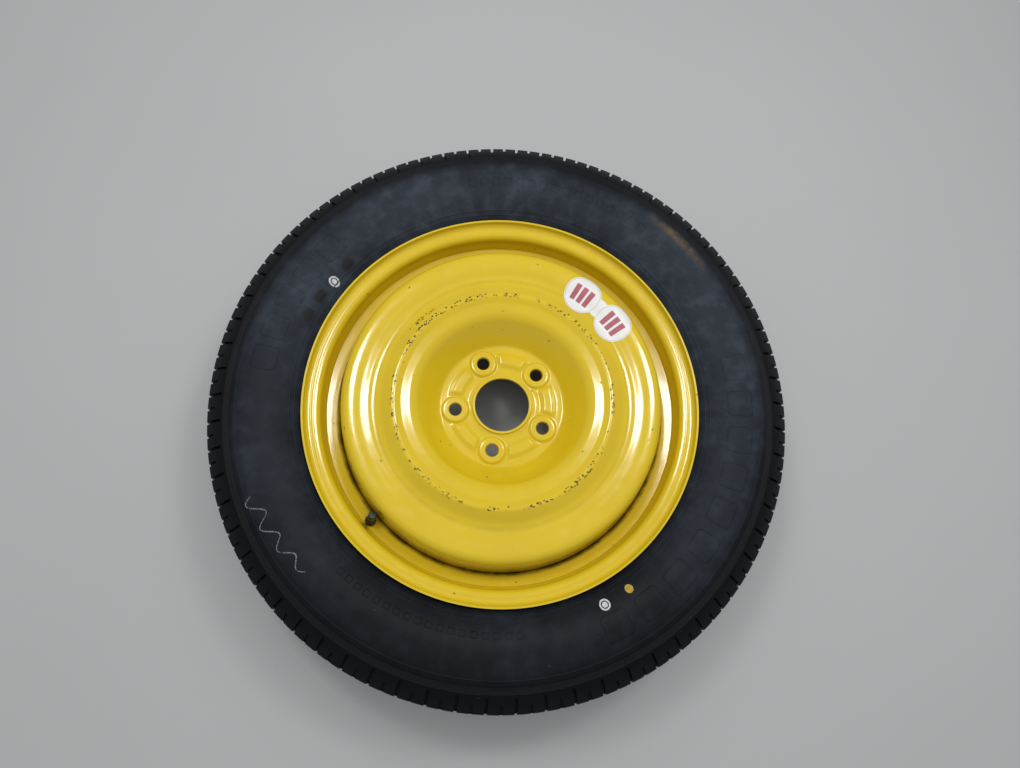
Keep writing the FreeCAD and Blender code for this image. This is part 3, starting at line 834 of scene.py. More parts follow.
@dataclass(frozen=True)
class FloorFinish(Finish):
    """Pale floor with faint clouds."""

    name: str = "pale_floor"
    colour: Colour = (0.44, 0.445, 0.445, 1.0)
    shade: Colour = (0.41, 0.415, 0.415, 1.0)
    cloud_scale: float = 3.0
    cloud_span: Span = (0.3, 0.7, 0.0, 0.25)
    rough: float = 0.6

    def dress(self, board: ShaderBoard) -> None:
        """Vary the colour by noise.

        Args:
            board: Board of the material.
        """
        cloud = board.span(board.noise(self.cloud_scale), *self.cloud_span)
        board.set("Base Color", board.mix(cloud, self.colour, self.shade))
        board.set("Roughness", self.rough)


WHITE_INK = PlainFinish("ink_white", (0.62, 0.63, 0.64, 1), (0.36, 0.37, 0.39, 1), (0.5, 0.7), worn=0.25)
YELLOW_INK = PlainFinish("ink_yellow", (0.46, 0.32, 0.03, 1), (0.33, 0.22, 0.02, 1), (0.45, 0.65))
CHALK = PlainFinish("chalk_grey", (0.20, 0.205, 0.22, 1), (0.12, 0.125, 0.135, 1), (0.8, 0.9), worn=0.42)
SMOOTH_RUBBER = PlainFinish("rubber_smooth", (0.0015, 0.0015, 0.002, 1), (0.003, 0.003, 0.004, 1),
                            (0.5, 0.65))

FINISHES: dict[Slot, Finish] = {
    Slot.VALVE_RUBBER: PlainFinish("rubber_valve", (0.014, 0.014, 0.015, 1), (0.03, 0.03, 0.032, 1),
                                   (0.45, 0.6)),
    Slot.BRASS: PlainFinish("metal_brass", (0.72, 0.50, 0.20, 1), (0.55, 0.36, 0.13, 1), (0.22, 0.38), 1.0),
    Slot.SEALS: PlainFinish("rubber_seals", (0.05, 0.03, 0.03, 1), (0.07, 0.045, 0.04, 1), (0.5, 0.65)),
    Slot.SPRING: PlainFinish("metal_spring", (0.55, 0.55, 0.56, 1), (0.42, 0.42, 0.43, 1), (0.2, 0.32), 1.0),
    Slot.CAP: PlainFinish("plastic_cap", (0.012, 0.012, 0.013, 1), (0.022, 0.022, 0.023, 1), (0.32, 0.45)),
    Slot.PAINT: PaintFinish(),
    Slot.TYRE: RubberFinish(),
    Slot.LABEL: LabelFinish(),
}


@dataclass
class Rim:
    """The rolled rim: flanges, bead seats, the ledge for the valve and the well."""

    seat: float = 218.3
    half_width: float = 50.8
    sheet: float = 2.3
    flange: float = 235.6
    tip: float = 62.1
    ledge: Pair = (215.85, 22.8)
    back_ledge: Pair = (216.2, -26.8)
    well: float = 201.0
    well_top: float = 17.975
    well_foot: float = -9.0
    flange_bend: float = 9.5
    seat_bend: float = 6.5
    well_bend: float = 3.2
    rolled_places: Pair = (221.0, 226.5)
    rolled_half: float = 0.55
    rolled_height: float = 0.22
    rolled_above: float = 46.0
    columns: int = 300

    def tyre_side(self) -> list[Corner]:
        """The face that the tyre sits on, from the outer edge to the inner one.

        Returns:
            Profile corners.
        """
        return [
            (self.flange, self.tip),
            (self.flange, self.half_width, self.flange_bend),
            (self.seat, self.half_width, self.seat_bend),
            (*self.ledge, self.well_bend),
            (self.well, self.well_top, self.well_bend),
            (self.well, self.well_foot, self.well_bend),
            (*self.back_ledge, self.well_bend),
            (self.seat, -self.half_width, self.seat_bend),
            (self.flange, -self.half_width, self.flange_bend),
            (self.flange, -self.tip),
        ]

    def build(self, paint: Material) -> None:
        """Turn the closed section round the axis, with two fine rolled lines inside each flange.

        Args:
            paint: The wheel's paint.
        """
        outside = rounded_profile(self.tyre_side(), arc_step=7.0, line_step=6.0)
        inside = rounded_profile(offset_corners(self.tyre_side(), -self.sheet), arc_step=7.0, line_step=1.2)
        away = inside[:, :1] - np.array(self.rolled_places)
        rolled = np.exp(-(away / self.rolled_half) ** 2).sum(1) * (np.abs(inside[:, 1]) > self.rolled_above)
        inside = inside + normals_of(inside) * (self.rolled_height * rolled)[:, None]
        section = np.concatenate([outside, inside[::-1]])
        shell = Shell()
        shell.add_grid(lathe(section, turn_angles(self.columns)), wrap_rows=True)
        settle(shell.build("rim_rolled", sharp_angle=40.0), Body.WHEEL, Slot.PAINT, paint, "wheel_rim")


@dataclass
class Disc:
    """The pressed disc: collar, bolt pads and ring, bowl, crown ridge, groove, dome and skirt."""

    sheet: float = 3.0
    hub_face: float = 33.0
    bolt_radius: float = 57.15
    bolt_count: int = 5
    hole: float = 7.3
    seat_top: float = 8.5
    seat_angle: float = 30.0
    pad_top: float = 14.0
    pad_base: float = 18.2
    pad_height: float = 3.0
    ring_height: float = 3.0
    ring_ends: Pair = (17.2, 22.5)
    ring_zone: Pair = (45.0, 69.5)
    collar_outer: float = 36.05
    collar_inner: float = 33.05
    collar_top: float = 4.5
    collar_foot: float = 1.4
    collar_back: float = 1.2
    # Bends of the collar from its foot outside, over its two edges, to its foot inside
    collar_bends: Span = (0.8, 0.7, 0.6, 1.5)
    # Radius and bend of corners: where the hub's flat starts, the ring's feet and edges, and the bowl's start
    flat_start: Pair = (41.5, 1.5)
    ring_feet: tuple[Pair, Pair] = ((47.2, 3.0), (67.1, 3.0))
    ring_edges: tuple[Pair, Pair] = ((52.7, 3.5), (61.6, 3.5))
    bowl_start: Pair = (76.0, 5.0)
    # Whole corners from the bowl outwards
    bowl_edge: Corner = (104.0, 67.0, 22.0)
    shelf: Corner = (119.5, 70.6, 14.0)
    ridge: Corner = (129.0, 75.2, 7.0)
    groove: Corner = (150.0, 63.0, 22.0)
    dome: tuple[Corner, Corner] = ((171.0, 70.6, 45.0), (188.5, 69.8, 11.0))
    skirt: tuple[Corner, Corner] = ((198.7, 13.0, 16.0), (198.7, -8.0))
    # Radii between which a face has one height: the hub on the front and on the back, and the dome
    hub_zones: tuple[Pair, Pair] = ((36.4, 95.0), (32.4, 95.0))
    dome_zone: Pair = (129.0, 188.0)
    # One bolt's sector: radii of its ends, points along its sides, then its rows on the front and the back:
    # distances from the bolt, and how many go on to the outline
    patch_inner: float = 38.2
    patch_outer: float = 82.0
    inner_steps: int = 20
    outer_steps: int = 56
    side_steps: int = 30
    pad_rows: tuple[tuple[float, ...], tuple[float, ...]] = (
        (8.9, 10.5, 12.5, 14.0, 14.6, 15.0, 15.5, 16.2, 16.8, 17.25, 17.9, 18.7, 20.0, 21.5),
        (9.0, 12.5, 15.0, 16.2, 17.25, 18.7),
    )
    far_rows: tuple[int, int] = (17, 9)
    pad_reach: float = 0.995
    join_gap: float = 0.2

    def hub_corners(self) -> list[Corner]:
        """The outer face, from the collar to the end of the skirt.

        Returns:
            Profile corners.
        """
        face = self.hub_face
        raised = face + self.ring_height
        hub = [
            (self.flat_start, face), (self.ring_feet[0], face), (self.ring_edges[0], raised),
            (self.ring_edges[1], raised), (self.ring_feet[1], face), (self.bowl_start, face),
        ]
        return [
            (self.collar_outer, face + self.collar_top),
            (self.collar_outer, face + self.collar_foot, self.collar_bends[0]),
            *[(radius, height, bend) for (radius, bend), height in hub],
            self.bowl_edge, self.shelf, self.ridge, self.groove, *self.dome, *self.skirt,
        ]

    def height(self, radius: np.ndarray, zone: Pair, back: bool = False) -> np.ndarray:
        """Height of a face over a radius, from fine points along its profile.

        Args:
            radius: Radii in millimetres.
            zone: Radii between which the face has one height.
            back: True for the back of the sheet.

        Returns:
            Heights in the same shape.
        """
        corners = offset_corners(self.hub_corners(), -self.sheet) if back else self.hub_corners()
        profile = rounded_profile(corners, arc_step=2.0, line_step=0.8)
        inside = profile[(profile[:, 0] > zone[0]) & (profile[:, 0] < zone[1])]
        inside = inside[np.argsort(inside[:, 0])]
        return np.interp(radius, inside[:, 0], inside[:, 1])

    def patch_outline(self) -> np.ndarray:
        """Outline of one bolt's sector: inner arc, side, outer arc and side.

        Returns:
            Plane points of shape (n, 2).
        """
        half = math.pi / self.bolt_count
        ends = (self.patch_inner, self.patch_outer)
        counts = (self.inner_steps, self.side_steps, self.outer_steps, self.side_steps)
        radius_runs = ((ends[0], ends[0]), ends, (ends[1], ends[1]), ends[::-1])
        angle_runs = ((-half, half), (half, half), (half, -half), (-half, -half))
        radius = np.concatenate([np.linspace(*run, n, endpoint=False) for run, n in zip(radius_runs, counts)])
        angle = np.concatenate([np.linspace(*run, n, endpoint=False) for run, n in zip(angle_runs, counts)])
        return np.stack([radius * np.cos(angle), radius * np.sin(angle)], 1)

    def patch_face(self, centre: np.ndarray, reach: np.ndarray, ray: np.ndarray, back: bool) -> np.ndarray:
        """One face of a bolt's sector: the ring sinks towards the bolt, and the pad rises by a smooth step.

        Args:
            centre: Plane point of the bolt.
            reach: Distance from the bolt to the sector's outline, for each column.
            ray: Plane direction of each column.
            back: True for the back of the sheet.

        Returns:
            Grid of points of shape (rows, columns, 3), from the pad outwards.
        """
        near = np.minimum(np.array(self.pad_rows[back])[:, None], reach * self.pad_reach)
        shares = np.linspace(0.0, 1.0, self.far_rows[back])[1:]
        distance = np.concatenate([near, near[-1] + (reach - near[-1]) * shares[:, None]])
        plane = centre + ray * distance[..., None]
        radius = np.linalg.norm(plane, axis=-1)
        sheet = self.height(radius, self.hub_zones[back], back)
        flat = self.hub_face - self.sheet * back
        on_ring = (radius > self.ring_zone[0]) & (radius < self.ring_zone[1])
        sheet = np.where(on_ring, flat + (sheet - flat) * ease(distance, *self.ring_ends), sheet)
        rise = ease(distance, self.pad_base, self.pad_top)
        z = sheet + (flat + self.pad_height - sheet) * rise
        return np.concatenate([plane, z[..., None]], -1)

    def bolt_patch(self) -> np.ndarray:
        """Rays from the bolt's centre to its sector's outline: outer face inwards, hole wall, back outwards.

        Returns:
            Grid of points of shape (rows, columns, 3).
        """
        centre = np.array([self.bolt_radius, 0.0])
        arms = self.patch_outline() - centre
        reach = np.linalg.norm(arms, axis=1)
        ray = arms / reach[:, None]
        top = self.hub_face + self.pad_height
        seat_depth = (self.seat_top - self.hole) / math.tan(math.radians(self.seat_angle))
        edge = []
        lip, foot = top - seat_depth, top - self.sheet
        for distance, z in ((self.seat_top, top), (self.hole, lip), (self.hole, foot)):
            edge.append(np.concatenate([centre + ray * distance, np.full((len(ray), 1), z)], 1))
        front, rear = (self.patch_face(centre, reach, ray, back) for back in (False, True))
        return np.concatenate([front[::-1], np.stack(edge), rear])

    def build(self, paint: Material) -> None:
        """Join the collar, five bolt patches and the turned bowl, dome and skirt in one sheet.

        Args:
            paint: The wheel's paint.
        """
        shell = Shell()
        patch = self.bolt_patch()
        for number in range(self.bolt_count):
            turn = 2 * math.pi * number / self.bolt_count
            cos, sin = math.cos(turn), math.sin(turn)
            shell.add_grid(patch @ np.array([[cos, sin, 0], [-sin, cos, 0], [0, 0, 1]]))
        half = math.pi / self.bolt_count
        inner_angles = turn_angles(self.inner_steps * self.bolt_count) - half
        outer_angles = turn_angles(self.outer_steps * self.bolt_count) - half
        joins = np.array([self.patch_inner, self.patch_outer])
        inner_face, outer_face = self.height(joins, self.hub_zones[False])
        inner_back, outer_back = self.height(joins, self.hub_zones[True], back=True)
        front = rounded_profile(self.hub_corners(), arc_step=3.0, line_step=4.0)
        back = rounded_profile(offset_corners(self.hub_corners(), -self.sheet), arc_step=8.0, line_step=8.0)
        bowl, bowl_back = (run[run[:, 0] > self.patch_outer + self.join_gap] for run in (front, back))
        turned = np.concatenate([[(self.patch_outer, outer_face)], bowl, bowl_back[::-1],
                                 [(self.patch_outer, outer_back)]])
        shell.add_grid(lathe(turned, outer_angles))
        bends = self.collar_bends
        collar = rounded_profile([
            (self.patch_inner, inner_face),
            (self.collar_outer, self.hub_face + self.collar_foot, bends[0]),
            (self.collar_outer, self.hub_face + self.collar_top, bends[1]),
            (self.collar_inner, self.hub_face + self.collar_top, bends[2]),
            (self.collar_inner, self.hub_face - self.collar_back, bends[3]),
            (self.patch_inner, inner_back),
        ], arc_step=12.0, line_step=2.0)
        shell.add_grid(lathe(collar, inner_angles))
        piece = shell.build("disc_pressed", sharp_angle=40.0, weld=0.01)
        settle(piece, Body.WHEEL, Slot.PAINT, paint, "wheel_disc")


@dataclass
class Tyre:
    """The tyre as one moulding: fine shoulder ribs, long and short shoulder slots and grooved tread."""

    pitches: int = 66
    coarse_per_pitch: int = 2
    fine_start: float = 321.5
    rib_inner: float = 312.5
    rib_outer: float = 320.5
    rib_count: int = 6
    rib_depth: float = 0.7
    long_depth: float = 4.0
    short_depth: float = 2.8
    long_start: float = 324.0
    short_start: float = 332.5
    top: float = 79.5
    # Corners of the section outside and inside; the side's two stand at the top, so they hold radius and bend
    toe: Pair = (216.9, 34.8)
    bead: tuple[Corner, Corner] = ((Rim.seat, Rim.half_width, 6.5), (233.3, Rim.half_width, 6.5))
    side: tuple[Pair, Pair] = ((256.0, 56.0), (315.0, 78.0))
    shoulder: Corner = (343.0, 57.0, 4.0)
    tread: float = 348.0
    tread_edge: float = 24.0
    inner_tread: float = 337.0
    inner_shoulder: Corner = (332.0, 57.6, 12.0)
    inner_side: tuple[Corner, Corner] = ((312.7, 73.5, 50.0), (256.9, 73.5, 49.5))
    inner_bead: tuple[Corner, Corner] = ((234.2, 44.3, 4.0), (224.3, 34.8, 2.0))
    side_above: float = 45.0
    seen_above: float = 52.0
    seen_from: float = 236.0
    line_places: Triple = (243.0, 247.5, 306.5)
    line_height: float = 0.4
    line_half: float = 0.5
    line_rows: Span = (-0.8, -0.25, 0.25, 0.8)
    plain_rows: int = 44
    rows_per_rib: int = 4
    groove_places: Pair = (11.0, 33.0)
    groove_half: float = 3.0
    groove_depth: float = 4.0
    groove_edges: Pair = (0.25, 0.35)
    notch_zone: Pair = (17.0, 27.5)
    notch_depth: float = 2.4
    # Fine rows: radii on the shoulder beside the slots' ends, then heights on the tread between its grooves
    slot_edge: float = 0.4
    slot_rows: tuple[Pair, Pair] = ((327.0, 329.5), (335.5, 338.5))
    corner_start: float = 340.5
    corner_rows: int = 7
    crown_from: float = 343.0
    wall_above: float = 54.0
    short_end: float = 47.0
    edge_rows: tuple[float, ...] = (54.5, 51.0, 47.6, 46.8, 42.0)
    notch_rows: Triple = (27.0, 24.0, 18.0)
    middle_rows: Pair = (5.0, 1.5)
    # Shares of one pitch where columns stand, and which of them are floors of a long or a short slot
    column_shares: tuple[float, ...] = (0.0, 0.1, 0.195, 0.207, 0.293, 0.305, 0.4, 0.5, 0.6, 0.695, 0.707,
                                        0.793, 0.805, 0.9)
    long_columns: tuple[int, ...] = (3, 4)
    short_columns: tuple[int, ...] = (10, 11)

    def wall(self) -> np.ndarray:
        """Outer face of the upper half, from the bead's toe to the tread's middle.

        Returns:
            Fine points of shape (n, 2).
        """
        return rounded_profile([
            self.toe, *self.bead, *[(radius, self.top, bend) for radius, bend in self.side],
            self.shoulder, (self.tread, self.tread_edge), (self.tread, 0.0),
        ], arc_step=1.5, line_step=0.5)

    def lining(self) -> np.ndarray:
        """Inner face of the upper half, from the tread's middle to the bead's toe.

        Returns:
            Points of shape (n, 2).
        """
        return rounded_profile([
            (self.inner_tread, 0.0), (self.inner_tread, self.tread_edge),
            self.inner_shoulder, *self.inner_side, *self.inner_bead, self.toe,
        ], arc_step=12.0, line_step=12.0)

    def surface(self, radius: np.ndarray) -> np.ndarray:
        """Height of the upper sidewall over a radius.

        Args:
            radius: Radii in millimetres.

        Returns:
            Heights in the same shape.
        """
        wall = self.wall()
        side = wall[(wall[:, 1] > self.seen_above) & (wall[:, 0] > self.seen_from)]
        return np.interp(radius, side[:, 0], side[:, 1])

    def rows(self) -> tuple[np.ndarray, np.ndarray]:
        """Coarse rows up to the ribs, and fine rows of shoulder and tread, of the upper half.

        Returns:
            Two arrays of (radius, height) points.
        """
        wall = self.wall()
        track = np.concatenate([[0.0], np.cumsum(np.linalg.norm(np.diff(wall, axis=0), axis=1))])
        side = wall[:, 1] > self.side_above
        crown = wall[:, 0] > self.crown_from
        ends = (self.rib_inner, self.rib_outer, self.fine_start, self.corner_start)
        meet, ribs_end, fine, corner = (track[side][np.argmin(np.abs(wall[side, 0] - end))] for end in ends)
        line_at = np.interp(self.line_places, wall[side, 0], track[side])
        beside = line_at[:, None] + np.array(self.line_rows)
        plain = np.sort(np.concatenate([np.linspace(0.0, meet, self.plain_rows), beside.ravel()]))
        ribs = np.linspace(meet, ribs_end, self.rib_count * self.rows_per_rib + 1)[1:]
        coarse_at = np.concatenate([plain, ribs])
        turns = self.rib_count * np.clip((coarse_at - meet) / (ribs_end - meet), 0.0, 1.0)
        wave = 0.5 - 0.5 * np.cos(2 * math.pi * turns)
        raised = (np.abs(coarse_at[:, None] - line_at) < self.line_half).any(1) * self.line_height
        coarse = self.at(track, coarse_at)
        coarse = coarse + normals_of(coarse) * (raised - wave * self.rib_depth)[:, None]
        slots = []
        for start, more in zip((self.long_start, self.short_start), self.slot_rows):
            slots += [start - self.slot_edge, start + self.slot_edge, *more]
        slots_at = np.interp(slots, wall[side, 0], track[side])
        inner, outer = self.groove_places
        heights = np.array([*self.edge_rows, *self.groove_rows(outer), *self.notch_rows,
                            *self.groove_rows(inner), *self.middle_rows])
        tread_at = np.interp(-heights, -wall[crown, 1], track[crown])
        corner_at = np.linspace(corner, tread_at[0], self.corner_rows)[:-1]
        return coarse, self.at(track, np.concatenate([[fine], slots_at, corner_at, tread_at]))

    def at(self, track: np.ndarray, places: np.ndarray) -> np.ndarray:
        """Points of the wall at some distances, where track holds the distance of each of its own points."""
        return np.stack([np.interp(places, track, column) for column in self.wall().T], 1)

    def groove_rows(self, place: float) -> list[float]:
        """Heights of a tread groove's edges, from its outer edge to its inner one."""
        over, under = self.groove_half + self.groove_edges[0], self.groove_half - self.groove_edges[1]
        return [place + over, place + under, place - under, place - over]

    def fine_depths(self, rows: np.ndarray) -> np.ndarray:
        """How far each fine point is cut in: slots across the shoulder, grooves round the tread.

        Args:
            rows: Fine rows of the upper half.

        Returns:
            Depths of shape (rows, columns of one pitch).
        """
        radius, height = rows[:, 0], rows[:, 1]
        on_wall = height > self.wall_above
        outer = self.groove_places[1] + self.groove_half
        long_rows = np.where(on_wall, radius > self.long_start, height > outer)
        short_rows = np.where(on_wall, radius > self.short_start, height > self.short_end)
        notch_rows = (height > self.notch_zone[0]) & (height < self.notch_zone[1])
        columns = np.arange(len(self.column_shares))
        long_depth = self.long_depth * long_rows[:, None] * np.isin(columns, self.long_columns)
        short_depth = (self.short_depth * short_rows + self.notch_depth * notch_rows)[:, None]
        depth = long_depth + short_depth * np.isin(columns, self.short_columns)
        groove = np.zeros(len(rows), bool)
        for place in self.groove_places:
            groove |= np.abs(height - place) < self.groove_half
        return np.maximum(depth, self.groove_depth * groove[:, None])

    def build(self, rubber: Material) -> None:
        """Turn the rows round the axis, cut the slots and join coarse and fine parts.

        Args:
            rubber: The tyre's material.
        """
        coarse, fine = self.rows()
        shares = (np.arange(self.pitches)[:, None] + np.array(self.column_shares)).ravel() / self.pitches
        fine_angles = 2 * math.pi * shares
        coarse_angles = turn_angles(self.pitches * self.coarse_per_pitch)
        both = np.concatenate([fine, (fine * [1, -1])[::-1]])
        depth = self.fine_depths(fine)
        depth = np.tile(np.concatenate([depth, depth[::-1]]), (1, self.pitches))
        section = both[:, None, :] - normals_of(both)[:, None, :] * depth[..., None]
        shell = Shell()
        upper = shell.add_grid(lathe(coarse, coarse_angles))
        crown = shell.add_grid(lathe(section, fine_angles))
        lower = shell.add_grid(lathe((coarse * [1, -1])[::-1], coarse_angles))
        shell.add_stitch(upper[-1], crown[0], fine_first=False)
        shell.add_stitch(lower[0], crown[-1], fine_first=True)
        half = self.lining()
        lining = np.concatenate([(half * [1, -1])[::-1], half[1:]])
        inner = shell.add_grid(lathe(lining[1:-1], coarse_angles))
        shell.add_quads(np.stack([lower[-1], inner[0]]))
        shell.add_quads(np.stack([inner[-1], upper[0]]))
        settle(shell.build("tyre_moulding", sharp_angle=32.0), Body.WHEEL, Slot.TYRE, rubber, "tyre")


@dataclass
class Welds:
    """Short fillet welds with a rippled bead between the end of the skirt and the well."""

    count: int = 6
    length_angle: float = 24.0
    well: float = Disc.skirt[1][0]
    end: float = Disc.skirt[1][1]
    leg: float = 3.0
    steps: int = 73
    section_steps: int = 9
    ripples: float = 24.0
    ripple: float = 0.3
    least_swell: float = 0.55
    taper: float = 14.0
    least_end: float = 0.02

    def bead(self) -> np.ndarray:
        """Closed loops of one bead's section along its length, drawn in towards both ends.

        Returns:
            Section points of shape (points, steps, 2).
        """
        around = np.linspace(0.0, math.pi / 2, self.section_steps)
        arc = np.stack([self.well - self.leg * np.sin(around), self.end - self.leg * np.cos(around)], 1)
        chord = np.linspace(arc[0], arc[-1], self.section_steps)
        corner = np.array([self.well, self.end])
        share = np.linspace(0.0, 1.0, self.steps)
        swell = self.least_swell + self.ripple * np.abs(np.sin(math.pi * self.ripples * share))
        taper = np.sqrt(np.clip(np.minimum(share, 1 - share) * self.taper, self.least_end, 1.0))
        loop = chord[:, None, :] + (arc - chord)[:, None, :] * swell[:, None]
        loop = corner + (loop - corner) * taper[:, None]
        return np.concatenate([loop, np.broadcast_to(corner, (1, self.steps, 2))])

    def build(self, paint: Material) -> None:
        """Set the beads round the skirt.

        Args:
            paint: The wheel's paint.
        """
        shell = Shell()
        section = self.bead()
        along = np.radians(np.linspace(0.0, self.length_angle, self.steps))
        for start in turn_angles(self.count):
            shell.add_bar(lathe(section, along + start))
        settle(shell.build("weld_fillets", sharp_angle=50.0), Body.WHEEL, Slot.PAINT, paint, "weld_beads")


@dataclass
class Label:
    """Two round lobes of printed film joined by a waist, lying on the dome."""

    radius: float = LABEL_RADIUS
    half_spread: float = LABEL_SPREAD
    lobe: float = 23.0
    waist: float = 11.0
    lift: float = 0.05
    thickness: float = 0.25
    steps: int = 96
    rows: int = 21

    def build(self, disc: Disc, film: Material) -> None:
        """Lay the film on the dome.

        Args:
            disc: The disc that carries it.
            film: The printed film.
        """
        reach = self.half_spread + self.lobe
        along = -reach * np.cos(np.linspace(0.0, math.pi, self.steps))
        from_lobe = np.abs(np.abs(along) - self.half_spread)
        half = np.maximum(np.sqrt(np.clip(self.lobe ** 2 - from_lobe ** 2, 0.0, None)),
                          np.sqrt(np.clip(self.waist ** 2 - along ** 2, 0.0, None)))
        across = np.linspace(-1.0, 1.0, self.rows)[:, None] * half
        angle = np.broadcast_to(LABEL_TURN + along / self.radius, across.shape)
        radius = self.radius + across
        face = polar(radius, angle, disc.height(radius, disc.dome_zone))
        shell = Shell()
        top = shell.add_grid(face + [0, 0, self.lift + self.thickness], wrap_columns=False)
        under = shell.add_grid(face + [0, 0, self.lift], wrap_columns=False)
        shell.add_quads(np.stack([top[0], under[0]]), wrap_columns=False)
        shell.add_quads(np.stack([under[-1], top[-1]]), wrap_columns=False)
        settle(shell.build("label_film", sharp_angle=40.0), Body.WHEEL, Slot.LABEL, film, "label")


@dataclass
class TyreMarks:
    """What is printed, moulded and scrawled on the upper sidewall."""

    stamps: tuple[Corner, ...] = ((250.5, 103.0), (256.0, -106.3))
    stamp_size: float = 6.0
    stamp_hole: float = 0.7
    stamp_middle: float = 0.5
    circle_steps: int = 40
    dot: Corner = (255.0, -99.1)
    dot_size: float = 4.6
    plugs: tuple[Corner, ...] = ((252.5, 96.8), (252.5, 108.7), (252.5, 114.8))
    plug_half: Pair = (7.8, 4.8)
    plug_bend: float = 4.0
    # Moulded frames: first and last angle, how many, radius of their middle, half width and half height
    frames: tuple[tuple[float, float, int, float, float, float], ...] = (
        (-106.0, -34.0, 9, 280.0, 15.0, 14.0),
        (97.0, 129.0, 5, 280.0, 14.0, 14.0),
        (10.0, 56.0, 16, 281.0, 4.6, 5.0),
        (-174.0, -128.0, 18, 262.0, 3.6, 3.0),
    )
    frame_bend: float = 0.3
    frame_line: float = 0.85
    frame_height: float = 0.45
    lift: float = 0.18
    sink: float = 0.3
    scrawl: tuple[Corner, Corner] = ((301.0, 160.7), (288.0, 180.7))
    scrawl_half: float = 0.7
    scrawl_steps: int = 160
    scrawl_waves: float = 3.5
    scrawl_swing: float = 9.0
    scrawl_fade: float = 0.5
    scrawl_thin: float = 0.6
    scrawl_beat: Pair = (9.0, 0.6)

    def spread(self, tyre: Tyre, place: Corner, plane: np.ndarray, lift: np.ndarray | float) -> np.ndarray:
        """Lay flat local points on the sidewall.

        Args:
            tyre: The tyre that carries them.
            place: Radius and angle of the local origin.
            plane: Local points (..., 2): round the tyre, and outwards.
            lift: Height over the rubber.

        Returns:
            Points of shape (..., 3).
        """
        radius = place[0] + plane[..., 1]
        angle = math.radians(place[1]) + plane[..., 0] / place[0]
        return polar(radius, angle, tyre.surface(radius) + lift)

    def outline(self, half_width: float, half_height: float, bend: float) -> np.ndarray:
        """A rounded rectangle about the local origin.

        Args:
            half_width: Half its size round the tyre.
            half_height: Half its size outwards.
            bend: Radius of its corners.

        Returns:
            A closed ring of points of shape (n, 2).
        """
        return rounded_profile([
            (0.0, -half_height), (half_width, -half_height, bend), (half_width, half_height, bend),
            (-half_width, half_height, bend), (-half_width, -half_height, bend), (0.0, -half_height),
        ], arc_step=15.0, line_step=3.0)[:-1]

    def add_patch(self, shell: Shell, tyre: Tyre, place: Corner, ring: np.ndarray,
                  inner: float = 0.0) -> None:
        """Add a thin patch inside a ring, or a band of it, with its foot in the rubber.

        Args:
            shell: Mesh to add to.
            tyre: The tyre that carries it.
            place: Radius and angle of its middle.
            ring: Outline about the middle.
            inner: Share of the ring where a hole starts.
        """
        shares = np.array([inner, (1 + inner) / 2, 1.0, 1.0, inner])
        lift = np.array([self.lift, self.lift, self.lift, -self.sink, -self.sink])[:, None]
        shell.add_grid(self.spread(tyre, place, ring * shares[:, None, None], lift), wrap_rows=inner > 0)

    def build_prints(self, tyre: Tyre, white: Material, yellow: Material,
                     black: Material) -> None:
        """Add the round stamps, the dot and the dark plugs.

        Args:
            tyre: The tyre that carries them.
            white: Stamp ink.
            yellow: Dot paint.
            black: Smooth rubber of the plugs.
        """
        around = turn_angles(self.circle_steps)
        circle = np.stack([np.cos(around), np.sin(around)], 1)
        stamps, dot, plugs = Shell(), Shell(), Shell()
        for place in self.stamps:
            self.add_patch(stamps, tyre, place, circle * self.stamp_size, self.stamp_hole)
            self.add_patch(stamps, tyre, place, circle * self.stamp_size * self.stamp_middle)
        self.add_patch(dot, tyre, self.dot, circle * self.dot_size)
        for place in self.plugs:
            self.add_patch(plugs, tyre, place, self.outline(*self.plug_half, self.plug_bend))
        settle(stamps.build("tyre_stamps"), Body.WHEEL, Slot.LABEL, white)
        settle(dot.build("tyre_dot"), Body.WHEEL, Slot.LABEL, yellow)
        settle(plugs.build("tyre_plugs"), Body.WHEEL, Slot.TYRE, black)

    def build_frames(self, tyre: Tyre, rubber: Material) -> None:
        """Mould raised outlines in rows on the sidewall.

        Args:
            tyre: The tyre that carries them.
            rubber: The tyre's rubber.
        """
        shell = Shell()
        lift = np.array([-self.sink, self.frame_height, self.frame_height, -self.sink])[:, None]
        for first, last, count, radius, half_width, half_height in self.frames:
            ring = self.outline(half_width, half_height, self.frame_bend * half_height)
            ahead = np.roll(ring, -1, 0) - np.roll(ring, 1, 0)
            side = np.stack([-ahead[:, 1], ahead[:, 0]], 1) / np.linalg.norm(ahead, axis=1)[:, None]
            offsets = self.frame_line * np.array([-1.0, -0.5, 0.5, 1.0])
            lines = ring + side * offsets[:, None, None]
            for angle in np.linspace(first, last, count):
                shell.add_grid(self.spread(tyre, (radius, angle), lines, lift), wrap_rows=True)
        settle(shell.build("tyre_frames", sharp_angle=60.0), Body.WHEEL, Slot.TYRE, rubber)

